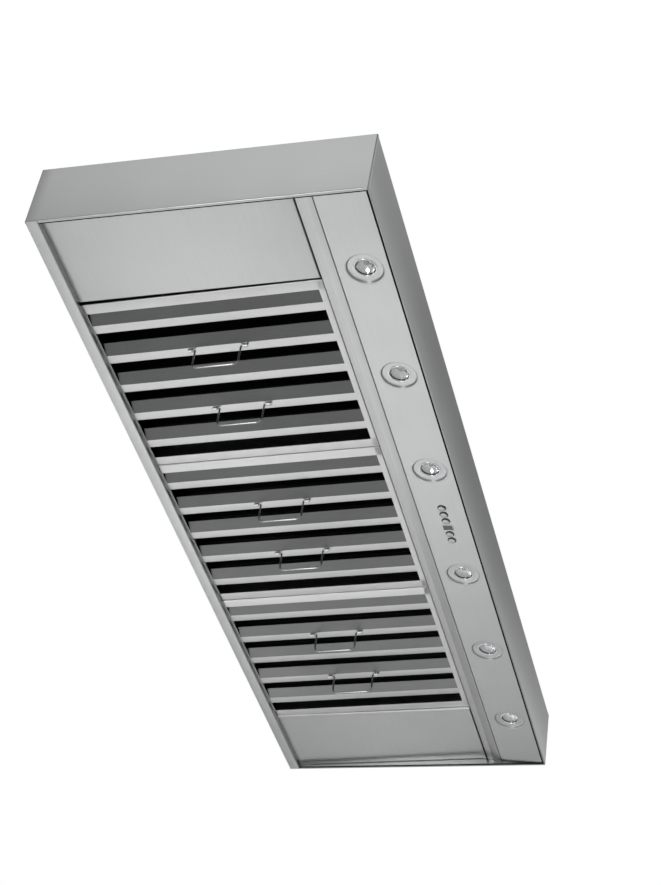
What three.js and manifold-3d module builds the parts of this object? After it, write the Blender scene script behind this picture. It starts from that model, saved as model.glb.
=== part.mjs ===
// Island range hood: a shallow stainless canopy with baffle filters, lamps and push buttons,
// hung from a ceiling plate by a telescoping frame inside a two-stage duct cover.
// Millimetres, +Z up, the lamps and buttons are along the front, which faces -Y.
// The origin is the centre of the ceiling plate's top face.

import * as THREE from 'three';
import { mergeVertices } from 'three/addons/utils/BufferGeometryUtils.js';
import Module from 'manifold-3d';

const wasm = await Module();
wasm.setup();

// Canopy
const CANOPY_LENGTH = 1829;
const CANOPY_DEPTH = 635;
const CANOPY_HEIGHT = 140;
const SHEET = 1.5;
const GAP = 0.3;
const SEAM = 0.5;
const FRONT_HEM = 8;
const END_FLANGE = 5.5;
const END_TAB = 14;
const GUTTER_DEPTH = 25;
const GUTTER_UPTURN = 11;

// Light and control panel, and the rail behind it
const PANEL_INSET = 5.5;
const PANEL_FRONT_Z = 2;
const PANEL_DEPTH = 99;
const PANEL_RISE = 6;
const PANEL_FLANGE = 12;
const RAIL_DEPTH = 35;
const RAIL_BEND = 21;
const RAIL_RISE = 10;
const RAIL_FLANGE = 16;
const CONTROL_LINE = 47;

// Lamps
const LAMP_HOLE_RADIUS = 37.5;
const LAMP_LENS_RADIUS = 21;
const LAMP_DISH = 4;
const LAMP_CAN_HEIGHT = 36;
const LAMP_CENTRE_INSET = 170;
const LAMP_END_INSET = 190.5;
const LAMP_FLANGE = 6;

// Controls
const CONTROL_PITCH = 21;
const CONTROL_COUNT = 6;
const DISPLAY_SLOT = 3;
const BUTTON_RADIUS = 7.5;
const BUTTON_PROUD = 3.5;
const BUTTON_TRAVEL = 2;
const DISPLAY_X = 18;
const DISPLAY_Y = 22;
const SWITCH_STANDOFF = 9;
const SWITCH_HEIGHT = 18;

// Baffle filters and the filler panels beside them
const FILTER_COUNT = 3;
const FILTER_WIDTH = 460;
const FILTER_GAP = 2;
const FILTER_SLACK = 8;
const FILTER_FRONT_Z = 26;
const FILTER_SWING_GAP = 1;
const FILTER_REAR_GAP = 6.5;
const FILTER_HEIGHT = 46;
const FILTER_SHEET = 1.2;
const FILTER_LIFT = 0.5;
const STRIP_COUNT = 5;
const STRIP_WIDTH = 21;
const SLOT_WIDTH = 61;
const END_SLOT = 32;
const FRONT_FLANGE = 12;
const REAR_FLANGE = 20;
const WEB_HEIGHT = 30;
const WING_REACH = 27;
const WING_RISE = 8;
const UPPER_LEG = 28;
const UPPER_GAP = 9;
const TIE_BAR = 16;
const TOP_FLANGE = 12;
const FILLER_FRONT_Z = 21;
const FILLER_FLANGE = 12;

// Filter handles
const HANDLE_WIRE = 2;
const HANDLE_SPAN = 91;
const HANDLE_DROP = 46;
const HANDLE_BEND = 11;
const HANDLE_STUB = 15;
const HANDLE_STUB_BEND = 3;
const HANDLE_PIVOT_DROP = 3.2;
const HANDLE_FROM_FRONT = 240;
const HANDLE_STRIPS = [1, 3];
const LUG_OFFSET = 6;
const LUG_LENGTH = 7;
const LUG_WIDTH = 8;
const LUG_WALL = 1.6;

// Blowers
const IMPELLER_RADIUS = 72;
const IMPELLER_WIDTH = 92;
const BLADE_COUNT = 16;
const BLADE_DEPTH = 12;
const SHAFT_RADIUS = 4;
const SCROLL_CLEARANCE = 9;
const SCROLL_GROWTH = 31;
const SCROLL_SHEET = 1.2;
const SCROLL_OUTLET = 100;
const INLET_RADIUS = 62;
const MOTOR_RADIUS = 42;
const MOTOR_LENGTH = 50;
const MOTOR_STANDOFF = 12;
const BOX_SHEET = 1.2;
const BOX_HEIGHT = 285;
const BOX_FLANGE = 6;
const BOX_AIR = 6;

// Duct collars and back-draught flaps
const DUCT_RADIUS = 101.5;
const COLLAR_SHEET = 1.5;
const COLLAR_HEIGHT = 90;
const COLLAR_FLANGE = 5;
const FLAP_HEIGHT = 40;
const FLAP_CLEARANCE = 3;
const FLAP_BARREL = 2.5;
const FLAP_OFFSET = 4;
const FLAP_SHEET = 1.2;

// Ceiling plate, telescoping frames and duct covers
const CEILING_TO_CANOPY = 500;
const CEILING_PLATE = 3;
const DUCT_HOLE_CLEARANCE = 3;
const FRAME_BAR = 3;
const FRAME_ANGLE = 25;
const FRAME_TOP_FLANGE = 15;
const FRAME_CLEARANCE = 0.8;
const UPPER_FRAME_END = 40;
const LOWER_FRAME_END = 40;
const COVER_SHEET = 1.2;
const COVER_CLEARANCE = 1.5;
const UPPER_COVER_END = 30;
const LOWER_COVER_END = 35;

// Control box and junction box under the canopy top
const CONTROL_BOX = [220, 80, 45];
const CONTROL_BOX_X = 250;
const JUNCTION_BOX = [110, 80, 45];
const JUNCTION_BOX_X = -250;
const BOX_FROM_FRONT = 15;

// Sizes worked out from the ones above
const frontY = -CANOPY_DEPTH / 2;
const rearY = CANOPY_DEPTH / 2;
const endX = CANOPY_LENGTH / 2;
const innerX = endX - SHEET - SEAM;
const railFrontY = frontY + PANEL_INSET + PANEL_DEPTH + SEAM + GAP;
const railFrontZ = PANEL_FRONT_Z + PANEL_RISE + GAP;
const railRearY = railFrontY + RAIL_DEPTH;
const panelSlope = Math.atan2(PANEL_RISE, PANEL_DEPTH);
const panelLength = Math.hypot(PANEL_RISE, PANEL_DEPTH);
const pivotY = rearY - GUTTER_DEPTH - SEAM;
const pivotZ = GUTTER_UPTURN + FILTER_LIFT;
const filterRun = Math.sqrt((pivotY - railRearY - FILTER_SWING_GAP) ** 2 - FILTER_HEIGHT ** 2);
const filterSlope = Math.asin((FILTER_FRONT_Z - pivotZ) / filterRun);
const filterFrontY = pivotY - filterRun * Math.cos(filterSlope);
const filterRearY = rearY - SHEET - FILTER_REAR_GAP;
const filterBay = FILTER_COUNT * FILTER_WIDTH + (FILTER_COUNT - 1) * FILTER_GAP + FILTER_SLACK;
const fillerWidth = (2 * innerX - filterBay) / 2 - SEAM;

const scrollStart = IMPELLER_RADIUS + SCROLL_CLEARANCE;
const scrollEnd = scrollStart + SCROLL_GROWTH;
const scrollInner = IMPELLER_WIDTH + 2 * BOX_AIR;
const scrollOuter = scrollInner + 2 * SCROLL_SHEET;
const scrollX = scrollStart + SCROLL_GROWTH / 2 + BOX_AIR / 2;
const scrollZ = scrollEnd + SCROLL_SHEET + BOX_AIR;
const collarX = scrollX + scrollEnd - SCROLL_OUTLET / 2;
const boxHalfX = collarX + DUCT_RADIUS + COLLAR_FLANGE + BOX_SHEET;
const boxHalfY = scrollOuter / 2 + MOTOR_STANDOFF + MOTOR_LENGTH + 2 * BOX_AIR + BOX_SHEET;
const lowerFrameHalf = [boxHalfX, boxHalfY].map((half) => half + BOX_FLANGE + 1 + FRAME_BAR);
const upperFrameHalf = lowerFrameHalf.map((half) => half + FRAME_CLEARANCE + FRAME_BAR);
const upperCoverHalf = upperFrameHalf.map((half) => half + FRAME_CLEARANCE + COVER_SHEET);
const lowerCoverHalf = upperCoverHalf.map((half) => half + COVER_CLEARANCE + COVER_SHEET);

// Materials
const steel = (color, roughness = 0.38) => (
  new THREE.MeshStandardMaterial({ color, roughness, metalness: 1 }));
const plastic = (color, roughness = 0.5) => (
  new THREE.MeshStandardMaterial({ color, roughness, metalness: 0 }));
const BRUSHED = '#c3c4c2';
const FILTER_STEEL = '#c9c9c6';
const GALVANISED = '#a9adb0';
const CHROME = '#e4e6e8';
const BLACK_PAINT = '#2a2b2d';

// Geometry helpers
const GRID = 1000;

// Positions and indices of a closed mesh, with its vertices on a fine grid so that pieces that
// share a face share it exactly, the shared vertices merged, and no empty triangles.
function mergedMesh(geometry) {
  const bare = geometry.clone();
  bare.deleteAttribute('normal');
  bare.deleteAttribute('uv');
  const places = bare.attributes.position.array;
  for (let i = 0; i < places.length; i += 1) places[i] = Math.round(places[i] * GRID) / GRID;
  const merged = mergeVertices(bare, 1e-4);
  const source = merged.index.array;
  const kept = [];
  for (let i = 0; i < source.length; i += 3) {
    const [a, b, c] = [source[i], source[i + 1], source[i + 2]];
    if (a !== b && b !== c && c !== a) kept.push(a, b, c);
  }
  return { positions: merged.attributes.position.array, indices: new Uint32Array(kept) };
}

function toSolid(geometry) {
  const { positions, indices } = mergedMesh(geometry);
  return new wasm.Manifold(new wasm.Mesh({
    numProp: 3, vertProperties: positions, triVerts: indices }));
}

function toGeometry(solid) {
  const { vertProperties, triVerts } = solid.getMesh();
  const indexed = new THREE.BufferGeometry();
  indexed.setAttribute('position', new THREE.BufferAttribute(vertProperties, 3));
  indexed.setIndex(new THREE.BufferAttribute(triVerts, 1));
  const flat = indexed.toNonIndexed();
  flat.computeVertexNormals();
  return flat;
}

// One geometry from the pieces that are joined, less the pieces that are cut away.
function build(joined, removed = []) {
  let solid = toSolid(joined[0]);
  for (const piece of joined.slice(1)) solid = solid.add(toSolid(piece));
  for (const piece of removed) solid = solid.subtract(toSolid(piece));
  return toGeometry(solid);
}

// A block between two corners.
function block([x0, y0, z0], [x1, y1, z1]) {
  const geometry = new THREE.BoxGeometry(x1 - x0, y1 - y0, z1 - z0);
  return geometry.translate((x0 + x1) / 2, (y0 + y1) / 2, (z0 + z1) / 2);
}

// An upright rectangular ring between two heights, from one half size in to another.
function ring([outerX, outerY], [holeX, holeY], z0, z1) {
  const hole = rectangle(-holeX, -holeY, holeX, holeY);
  return extrudeZ(rectangle(-outerX, -outerY, outerX, outerY), z0, z1, [hole]);
}

// A round bar along Z between two heights.
function barZ(radius, x, y, z0, z1, sides = 20) {
  const geometry = new THREE.CylinderGeometry(radius, radius, z1 - z0, sides);
  return geometry.rotateX(Math.PI / 2).translate(x, y, (z0 + z1) / 2);
}

// A round bar along Y between two places.
function barY(radius, x, z, y0, y1, sides = 24) {
  const geometry = new THREE.CylinderGeometry(radius, radius, y1 - y0, sides);
  return geometry.translate(x, (y0 + y1) / 2, z);
}

// A closed outline, with holes where more lists of points are given.
function outline(points, holes = []) {
  const vectors = (list) => list.map(([u, v]) => new THREE.Vector2(u, v));
  const shape = new THREE.Shape(vectors(points));
  shape.holes = holes.map((hole) => new THREE.Path(vectors(hole)));
  return shape;
}

// The corners of a rectangle.
function rectangle(u0, v0, u1, v1) {
  return [[u0, v0], [u1, v0], [u1, v1], [u0, v1]];
}

// Points round a circle.
function circle(u, v, radius, sides) {
  return Array.from({ length: sides }, (_, i) => {
    const turn = (2 * Math.PI * i) / sides;
    return [u + radius * Math.cos(turn), v + radius * Math.sin(turn)];
  });
}

// An outline of (x, y) points carried up along Z.
function extrudeZ(points, z0, z1, holes = []) {
  const shape = outline(points, holes);
  const geometry = new THREE.ExtrudeGeometry(shape, { depth: z1 - z0, bevelEnabled: false });
  return geometry.translate(0, 0, z0);
}

// An outline of (y, z) points carried along X.
function extrudeX(points, x0, x1) {
  const geometry = new THREE.ExtrudeGeometry(outline(points), { depth: x1 - x0, bevelEnabled: false });
  const turn = new THREE.Matrix4().makeBasis(
    new THREE.Vector3(0, 1, 0), new THREE.Vector3(0, 0, 1), new THREE.Vector3(1, 0, 0));
  return geometry.applyMatrix4(turn).translate(x0, 0, 0);
}

// An outline of (x, z) points carried along Y.
function extrudeY(points, y0, y1, holes = []) {
  const shape = outline(points, holes);
  const geometry = new THREE.ExtrudeGeometry(shape, { depth: y1 - y0, bevelEnabled: false });
  const turn = new THREE.Matrix4().makeBasis(
    new THREE.Vector3(1, 0, 0), new THREE.Vector3(0, 0, 1), new THREE.Vector3(0, -1, 0));
  return geometry.applyMatrix4(turn).translate(0, y1, 0);
}

// A profile of (radius, height) points turned round Z.
function turned(points, sides) {
  const profile = points.map(([r, z]) => new THREE.Vector2(r, z));
  return new THREE.LatheGeometry(profile, sides).rotateX(Math.PI / 2);
}

// The closed outline of a bent sheet: the path of one face, and the same path moved to its
// left by the thickness, with mitred corners.
function bentSheet(path, thickness) {
  const normals = path.slice(1).map(([u, v], i) => {
    const [du, dv] = [u - path[i][0], v - path[i][1]];
    const length = Math.hypot(du, dv);
    return [-dv / length, du / length];
  });
  const moved = path.map(([u, v], i) => {
    const before = normals[Math.max(i - 1, 0)];
    const after = normals[Math.min(i, normals.length - 1)];
    const scale = thickness / (1 + before[0] * after[0] + before[1] * after[1]);
    return [u + (before[0] + after[0]) * scale, v + (before[1] + after[1]) * scale];
  });
  return [...path, ...moved.reverse()];
}

function named(name, geometry, material) {
  const mesh = new THREE.Mesh(geometry, material);
  mesh.name = name;
  return mesh;
}

// Canopy sheet metal

// Front wall, top and rear wall bent from one sheet, with the grease gutter along the rear.
function canopyShell() {
  const path = [
    [rearY - GUTTER_DEPTH, GUTTER_UPTURN],
    [rearY - GUTTER_DEPTH, 0],
    [rearY, 0],
    [rearY, CANOPY_HEIGHT],
    [frontY, CANOPY_HEIGHT],
    [frontY, 0],
  ];
  const reach = endX - SHEET - GAP;
  const body = extrudeX(bentSheet(path, SHEET), -reach, reach);
  const hem = block([-reach, frontY + SHEET, 0], [reach, frontY + 2 * SHEET, FRONT_HEM]);
  const opening = block(
    [-boxHalfX + BOX_SHEET, -boxHalfY + BOX_SHEET, CANOPY_HEIGHT - 2 * SHEET],
    [boxHalfX - BOX_SHEET, boxHalfY - BOX_SHEET, CANOPY_HEIGHT + SHEET]);
  return named('canopy_shell', build([body, hem], [opening]), steel(BRUSHED));
}

// One end wall with a narrow return along its lower edge and tabs behind the shell. The left one
// is drawn, and side = 1 turns it end for end.
function endPanel(name, side) {
  const x0 = -endX;
  const x1 = x0 + SHEET;
  const tabTop = CANOPY_HEIGHT - SHEET - GAP;
  const wall = block([x0, frontY, 0], [x1, rearY, CANOPY_HEIGHT]);
  const lower = block(
    [x1, frontY + 2 * SHEET + GAP, 0], [x0 + END_FLANGE, rearY - GUTTER_DEPTH - GAP, SHEET]);
  const upper = block(
    [x1, frontY + 2 * END_TAB, tabTop - SHEET], [x0 + END_TAB, rearY - 2 * END_TAB, tabTop]);
  const front = block(
    [x1, frontY + SHEET + GAP, FRONT_HEM + GAP + END_TAB],
    [x0 + END_TAB, frontY + 2 * SHEET + GAP, tabTop - END_TAB]);
  const rear = block(
    [x1, rearY - 2 * SHEET - GAP, GUTTER_UPTURN + END_TAB],
    [x0 + END_TAB, rearY - SHEET - GAP, tabTop - END_TAB]);
  const geometry = build([wall, lower, upper, front, rear]);
  if (side > 0) mirrorX(geometry);
  return named(name, geometry, steel(BRUSHED));
}

// Mirrors a geometry end for end and turns its faces out again.
function mirrorX(geometry) {
  geometry.scale(-1, 1, 1);
  const { array } = geometry.attributes.position;
  for (let i = 0; i < array.length; i += 9) {
    for (let k = 0; k < 3; k += 1) {
      [array[i + 3 + k], array[i + 6 + k]] = [array[i + 6 + k], array[i + 3 + k]];
    }
  }
  geometry.computeVertexNormals();
}

// Light and control panel. Its own frame has its origin at the panel's front lower edge, with Y
// up the slope and Z into the hood.
function lampPlaces() {
  const outer = endX - LAMP_END_INSET;
  const middle = (outer + LAMP_CENTRE_INSET) / 2;
  return [-outer, -middle, -LAMP_CENTRE_INSET, LAMP_CENTRE_INSET, middle, outer];
}

function controlPlaces() {
  const first = -(CONTROL_COUNT - 1) / 2;
  return Array.from({ length: CONTROL_COUNT }, (_, i) => (first + i) * CONTROL_PITCH);
}

function lightPanel() {
  const path = [
    [0, PANEL_FLANGE],
    [0, 0],
    [panelLength, 0],
    [panelLength, PANEL_FLANGE],
  ];
  const sheet = extrudeX(bentSheet(path, SHEET), -innerX, innerX);
  const low = -SHEET;
  const high = 2 * SHEET;
  const lampHoles = lampPlaces().map((x) => barZ(LAMP_HOLE_RADIUS, x, CONTROL_LINE, low, high));
  const controlHoles = controlPlaces().map((x, i) => {
    if (i !== DISPLAY_SLOT) return barZ(BUTTON_RADIUS + GAP, x, CONTROL_LINE, low, high, 18);
    const [halfX, halfY] = [DISPLAY_X / 2 + GAP, DISPLAY_Y / 2 + GAP];
    return block([x - halfX, CONTROL_LINE - halfY, low], [x + halfX, CONTROL_LINE + halfY, high]);
  });
  return named('light_panel', build([sheet], [...lampHoles, ...controlHoles]), steel(BRUSHED));
}

// A dished trim ring with the lamp can behind it.
function lampHousing(index, x) {
  const rim = LAMP_HOLE_RADIUS - GAP;
  const can = LAMP_LENS_RADIUS + GAP;
  const behind = SHEET + GAP;
  const profile = [
    [0, LAMP_CAN_HEIGHT],
    [can, LAMP_CAN_HEIGHT],
    [can, LAMP_DISH],
    [rim - 3, LAMP_DISH],
    [rim - 1, 0],
    [rim, 0],
    [rim, behind],
    [rim + LAMP_FLANGE, behind],
    [rim + LAMP_FLANGE, behind + SHEET],
    [rim - 1, LAMP_DISH + SHEET],
    [can + SHEET, LAMP_DISH + SHEET],
    [can + SHEET, LAMP_CAN_HEIGHT + SHEET],
    [0, LAMP_CAN_HEIGHT + SHEET],
  ];
  const mesh = named(`lamp_housing_${index}`, turned(profile, 20), steel(CHROME, 0.2));
  mesh.position.set(x, CONTROL_LINE, 0);
  return mesh;
}

// A domed lens held in the mouth of the can.
function lampLens(index, x) {
  const profile = [
    [0, LAMP_DISH - 0.5],
    [LAMP_LENS_RADIUS * 0.6, LAMP_DISH],
    [LAMP_LENS_RADIUS, LAMP_DISH + 1.5],
    [LAMP_LENS_RADIUS, LAMP_DISH + 4],
    [0, LAMP_DISH + 4],
  ];
  const mesh = named(`lamp_lens_${index}`, turned(profile, 20), plastic('#f2f4f5', 0.1));
  mesh.position.set(x, CONTROL_LINE, 0);
  return mesh;
}

// A domed push button with a shoulder that keeps it behind the panel.
function pushButton(index, x) {
  const shoulder = SHEET + GAP;
  const stem = SWITCH_STANDOFF - BUTTON_TRAVEL - 1;
  const profile = [
    [0, -BUTTON_PROUD],
    [BUTTON_RADIUS * 0.6, 0.35 - BUTTON_PROUD],
    [BUTTON_RADIUS * 0.93, 1.2 - BUTTON_PROUD],
    [BUTTON_RADIUS, 2.2 - BUTTON_PROUD],
    [BUTTON_RADIUS, shoulder],
    [BUTTON_RADIUS + 1.5, shoulder],
    [BUTTON_RADIUS + 1.5, shoulder + 1.5],
    [BUTTON_RADIUS - 3, shoulder + 1.5],
    [BUTTON_RADIUS - 3, stem],
    [0, stem],
  ];
  const mesh = named(`button_${index}`, turned(profile, 16), steel(CHROME, 0.25));
  mesh.position.set(x, CONTROL_LINE, 0);
  return mesh;
}

function displayWindow(x) {
  const behind = SHEET + GAP;
  const face = block([-DISPLAY_X / 2, -DISPLAY_Y / 2, -1], [DISPLAY_X / 2, DISPLAY_Y / 2, behind + 1]);
  const rim = block(
    [-DISPLAY_X / 2 - 1, -DISPLAY_Y / 2 - 1.5, behind],
    [DISPLAY_X / 2 + 1, DISPLAY_Y / 2 + 1.5, behind + 2]);
  const mesh = named('display_window', build([face, rim]), plastic('#3a3d40', 0.15));
  mesh.position.set(x, CONTROL_LINE, 0);
  return mesh;
}

// The closed case behind the buttons, on two feet that stand on the panel.
function switchHousing() {
  const half = (CONTROL_COUNT * CONTROL_PITCH) / 2 + 6;
  const foot = 8;
  const depth = 16;
  const top = SWITCH_STANDOFF + SWITCH_HEIGHT;
  const base = SHEET + GAP;
  const body = block([-half, -depth, SWITCH_STANDOFF], [half, depth, top]);
  const left = block([-half - foot, -depth, base], [-half, depth, top]);
  const right = block([half, -depth, base], [half + foot, depth, top]);
  const mesh = named('switch_housing', build([body, left, right]), plastic(BLACK_PAINT));
  mesh.position.set(0, CONTROL_LINE, 0);
  return mesh;
}

function lightPanelGroup() {
  const group = new THREE.Group();
  group.position.set(0, frontY + PANEL_INSET, PANEL_FRONT_Z);
  group.rotation.x = panelSlope;
  group.add(lightPanel(), switchHousing());
  lampPlaces().forEach((x, i) => group.add(lampHousing(i + 1, x), lampLens(i + 1, x)));
  let button = 0;
  controlPlaces().forEach((x, i) => {
    if (i === DISPLAY_SLOT) {
      group.add(displayWindow(x));
    } else {
      button += 1;
      group.add(pushButton(button, x));
    }
  });
  return group;
}

// The rail between the light panel and the filters.
function filterRail() {
  const path = [
    [railFrontY, railFrontZ + PANEL_FLANGE],
    [railFrontY, railFrontZ],
    [railFrontY + RAIL_BEND, railFrontZ + RAIL_RISE - 1.5],
    [railRearY, railFrontZ + RAIL_RISE],
    [railRearY, railFrontZ + RAIL_RISE + RAIL_FLANGE],
  ];
  const geometry = extrudeX(bentSheet(path, SHEET), -innerX, innerX);
  return named('filter_rail', build([geometry]), steel(BRUSHED));
}

// Flat tray that fills the bay between the filters and an end wall.
function fillerPanel(name, side) {
  const run = pivotY - filterFrontY;
  const rise = FILLER_FRONT_Z - pivotZ;
  const front = -Math.hypot(run, rise);
  const rear = filterRearY - pivotY;
  const half = fillerWidth / 2;
  const tray = block([-half, front, 0], [half, rear, FILLER_FLANGE]);
  const hollow = block(
    [-half + SHEET, front + SHEET, SHEET], [half - SHEET, rear - SHEET, 2 * FILLER_FLANGE]);
  const mesh = named(name, build([tray], [hollow]), steel(BRUSHED));
  mesh.position.set(side * (innerX - half), pivotY, pivotZ);
  mesh.rotation.x = -Math.atan2(rise, run);
  return mesh;
}

// Baffle filters. A filter's own frame has its origin where it rests on the gutter, at the middle
// of its width, with Y to the rear along its slope.
const filterEnd = filterRearY - pivotY;
const stripPitch = STRIP_WIDTH + SLOT_WIDTH;

// Left and right edges of every slot in a filter.
function slotEdges() {
  const edges = [];
  const firstStrip = -((STRIP_COUNT - 1) / 2) * stripPitch - STRIP_WIDTH / 2;
  edges.push([firstStrip - END_SLOT, firstStrip]);
  for (let i = 0; i < STRIP_COUNT - 1; i += 1) {
    const left = firstStrip + i * stripPitch + STRIP_WIDTH;
    edges.push([left, left + SLOT_WIDTH]);
  }
  const last = -firstStrip;
  edges.push([last, last + END_SLOT]);
  return edges;
}

// The places of a filter's handle pivots.
function handlePlaces() {
  const firstStrip = -((STRIP_COUNT - 1) / 2) * stripPitch - STRIP_WIDTH / 2;
  return HANDLE_STRIPS.map((strip) => (
    [firstStrip + strip * stripPitch + LUG_WIDTH / 2 + 1, HANDLE_FROM_FRONT - filterRun]));
}

// Two pierced lugs under a strip that hold the stub ends of one handle.
function handleLugs([x, y]) {
  const low = -HANDLE_PIVOT_DROP - HANDLE_WIRE - SEAM - LUG_WALL;
  const near = HANDLE_SPAN / 2 + LUG_OFFSET;
  const bore = circle(x, -HANDLE_PIVOT_DROP, HANDLE_WIRE + SEAM, 12);
  const section = rectangle(x - LUG_WIDTH / 2, low, x + LUG_WIDTH / 2, 0);
  return [-near - LUG_LENGTH, near].map((start) => (
    extrudeY(section, y + start, y + start + LUG_LENGTH, [bore])));
}

// The shallow sloping side of a strip, which rises over the slot beside it.
function baffleWing(x, y0, y1) {
  const tip = x - WING_REACH;
  return extrudeY(
    [[x, 0], [x, FILTER_SHEET], [tip, WING_RISE + FILTER_SHEET], [tip, WING_RISE]], y0, y1);
}

// Frame, lower baffles and handle lugs of one filter.
function filterFrame(index) {
  const half = FILTER_WIDTH / 2;
  const wall = half - FILTER_SHEET;
  const [front, rear] = [-filterRun, filterEnd];
  const [inFront, inRear] = [front + FILTER_SHEET, rear - FILTER_SHEET];
  const rim = rectangle(-half, front, half, rear);
  const slots = slotEdges().map(([left, right]) => (
    block([left, front + FRONT_FLANGE, -1], [right, rear - REAR_FLANGE, FILTER_SHEET + 1])));
  const underTop = FILTER_HEIGHT - FILTER_SHEET;
  const plate = build([block([-half, front, 0], [half, rear, FILTER_SHEET])], slots);
  const walls = extrudeZ(rim, FILTER_SHEET, underTop, [rectangle(-wall, inFront, wall, inRear)]);
  const top = extrudeZ(rim, underTop, FILTER_HEIGHT, [
    rectangle(-wall, front + TOP_FLANGE, wall, rear - TOP_FLANGE)]);
  const upright = slotEdges().map(([left]) => left - FILTER_SHEET).concat(slotEdges().at(-1)[1]);
  const webs = upright.map((x) => (
    block([x, inFront, FILTER_SHEET], [x + FILTER_SHEET, inRear, WEB_HEIGHT])));
  const wings = slotEdges().slice(0, -1).map(([, right]) => baffleWing(
    right, front + FRONT_FLANGE, rear - REAR_FLANGE));
  const lugs = handlePlaces().flatMap(handleLugs);
  const geometry = build([plate, walls, top, ...webs, ...wings, ...lugs]);
  return named(`filter_${index}_frame`, geometry, steel(FILTER_STEEL));
}

// The inverted channels that hang over the slots, held by two tie bars.
function upperBaffles(index) {
  const top = FILTER_HEIGHT - 2 * FILTER_SHEET - GAP;
  const wall = FILTER_WIDTH / 2 - FILTER_SHEET - SEAM;
  const [y0, y1] = [-filterRun + FILTER_SHEET + SEAM, filterEnd - FILTER_SHEET - SEAM];
  const reach = (STRIP_WIDTH - UPPER_GAP) / 2;
  const channels = slotEdges().map(([left, right]) => {
    const a = Math.max(left - reach, -wall);
    const b = Math.min(right + reach, wall);
    const path = [[b, top - UPPER_LEG], [b, top], [a, top], [a, top - UPPER_LEG]];
    return extrudeY(bentSheet(path, FILTER_SHEET), y0, y1);
  });
  const ties = [y0 + TIE_BAR, y1 - 2 * TIE_BAR].map((y) => (
    block([-wall, y, top], [wall, y + TIE_BAR, top + FILTER_SHEET])));
  return named(`filter_${index}_upper_baffles`, build([...channels, ...ties]), steel('#8e8f8e', 0.5));
}

// A wire bail: two stub ends in the lugs, two legs and a grip, with rounded bends.
function handle(name) {
  const span = HANDLE_SPAN / 2;
  const corners = [
    [-span - HANDLE_STUB, 0, 0], [-span, 0, HANDLE_STUB_BEND], [-span, -HANDLE_DROP, HANDLE_BEND],
    [span, -HANDLE_DROP, HANDLE_BEND], [span, 0, HANDLE_STUB_BEND], [span + HANDLE_STUB, 0, 0],
  ];
  const point = ([y, z]) => new THREE.Vector3(0, y, z);
  const path = new THREE.CurvePath();
  let from = point(corners[0]);
  for (let i = 1; i < corners.length; i += 1) {
    const corner = point(corners[i]);
    const radius = corners[i][2];
    const back = from.clone().sub(corner).setLength(radius).add(corner);
    path.add(new THREE.LineCurve3(from, back));
    if (radius > 0) {
      const ahead = point(corners[i + 1]).sub(corner).setLength(radius).add(corner);
      path.add(new THREE.QuadraticBezierCurve3(back, corner, ahead));
      from = ahead;
    }
  }
  const section = new THREE.Shape().absarc(0, 0, HANDLE_WIRE, 0, 2 * Math.PI);
  const geometry = new THREE.ExtrudeGeometry(section, { steps: 28, curveSegments: 4, extrudePath: path });
  return named(name, build([geometry]), steel(CHROME, 0.22));
}

function filterGroup(index) {
  const group = new THREE.Group();
  const row = (index - (FILTER_COUNT + 1) / 2) * (FILTER_WIDTH + FILTER_GAP);
  group.position.set(row + FILTER_SLACK / 2 - SEAM, pivotY, pivotZ);
  group.rotation.x = -filterSlope;
  group.add(filterFrame(index), upperBaffles(index));
  handlePlaces().forEach(([x, y], i) => {
    const mesh = handle(`handle_${index}_${'ab'[i]}`);
    mesh.position.set(x, y, -HANDLE_PIVOT_DROP);
    group.add(mesh);
  });
  return group;
}

// Electrical boxes under the canopy top.
function hungBox(name, [width, depth, height], x, color) {
  const top = CANOPY_HEIGHT - SHEET - GAP;
  const y0 = frontY + SHEET + BOX_FROM_FRONT;
  const body = block([x - width / 2, y0, top - height], [x + width / 2, y0 + depth, top]);
  const lid = block(
    [x - width / 2 - 2, y0 - 2, top - height - 2], [x + width / 2 + 2, y0 + depth + 2, top - height + 8]);
  return named(name, build([body, lid]), steel(color, 0.6));
}

// Blowers. Their frame has its origin at the middle of the canopy's top face.

// The outline of a scroll in (x, z), moved in by an inset; side = -1 mirrors it.
function scrollOutline(inset, top, side) {
  const right = scrollEnd - inset;
  const left = scrollEnd - SCROLL_OUTLET + inset;
  const start = Math.acos(left / (scrollStart - inset));
  const steps = 26;
  const spiral = Array.from({ length: steps + 1 }, (_, i) => {
    const turn = start + (i / steps) * (2 * Math.PI - start);
    const radius = scrollStart + (SCROLL_GROWTH * i) / steps - inset;
    return [radius * Math.cos(turn), radius * Math.sin(turn)];
  });
  const points = [[right, top], [left, top], ...spiral];
  const placed = points.map(([x, z]) => [side * (scrollX + x), scrollZ + z]);
  return side > 0 ? placed : placed.reverse();
}

function blowerHousing(name, side) {
  const top = BOX_HEIGHT - BOX_SHEET - GAP - scrollZ;
  const half = scrollOuter / 2;
  const outer = extrudeY(scrollOutline(0, top, side), -half, half);
  const inner = extrudeY(scrollOutline(SCROLL_SHEET, top + 5, side), -scrollInner / 2, scrollInner / 2);
  const inlets = barY(INLET_RADIUS, side * scrollX, scrollZ, -half - 1, half + 1, 28);
  return named(name, build([outer], [inner, inlets]), steel(GALVANISED, 0.5));
}

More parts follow.
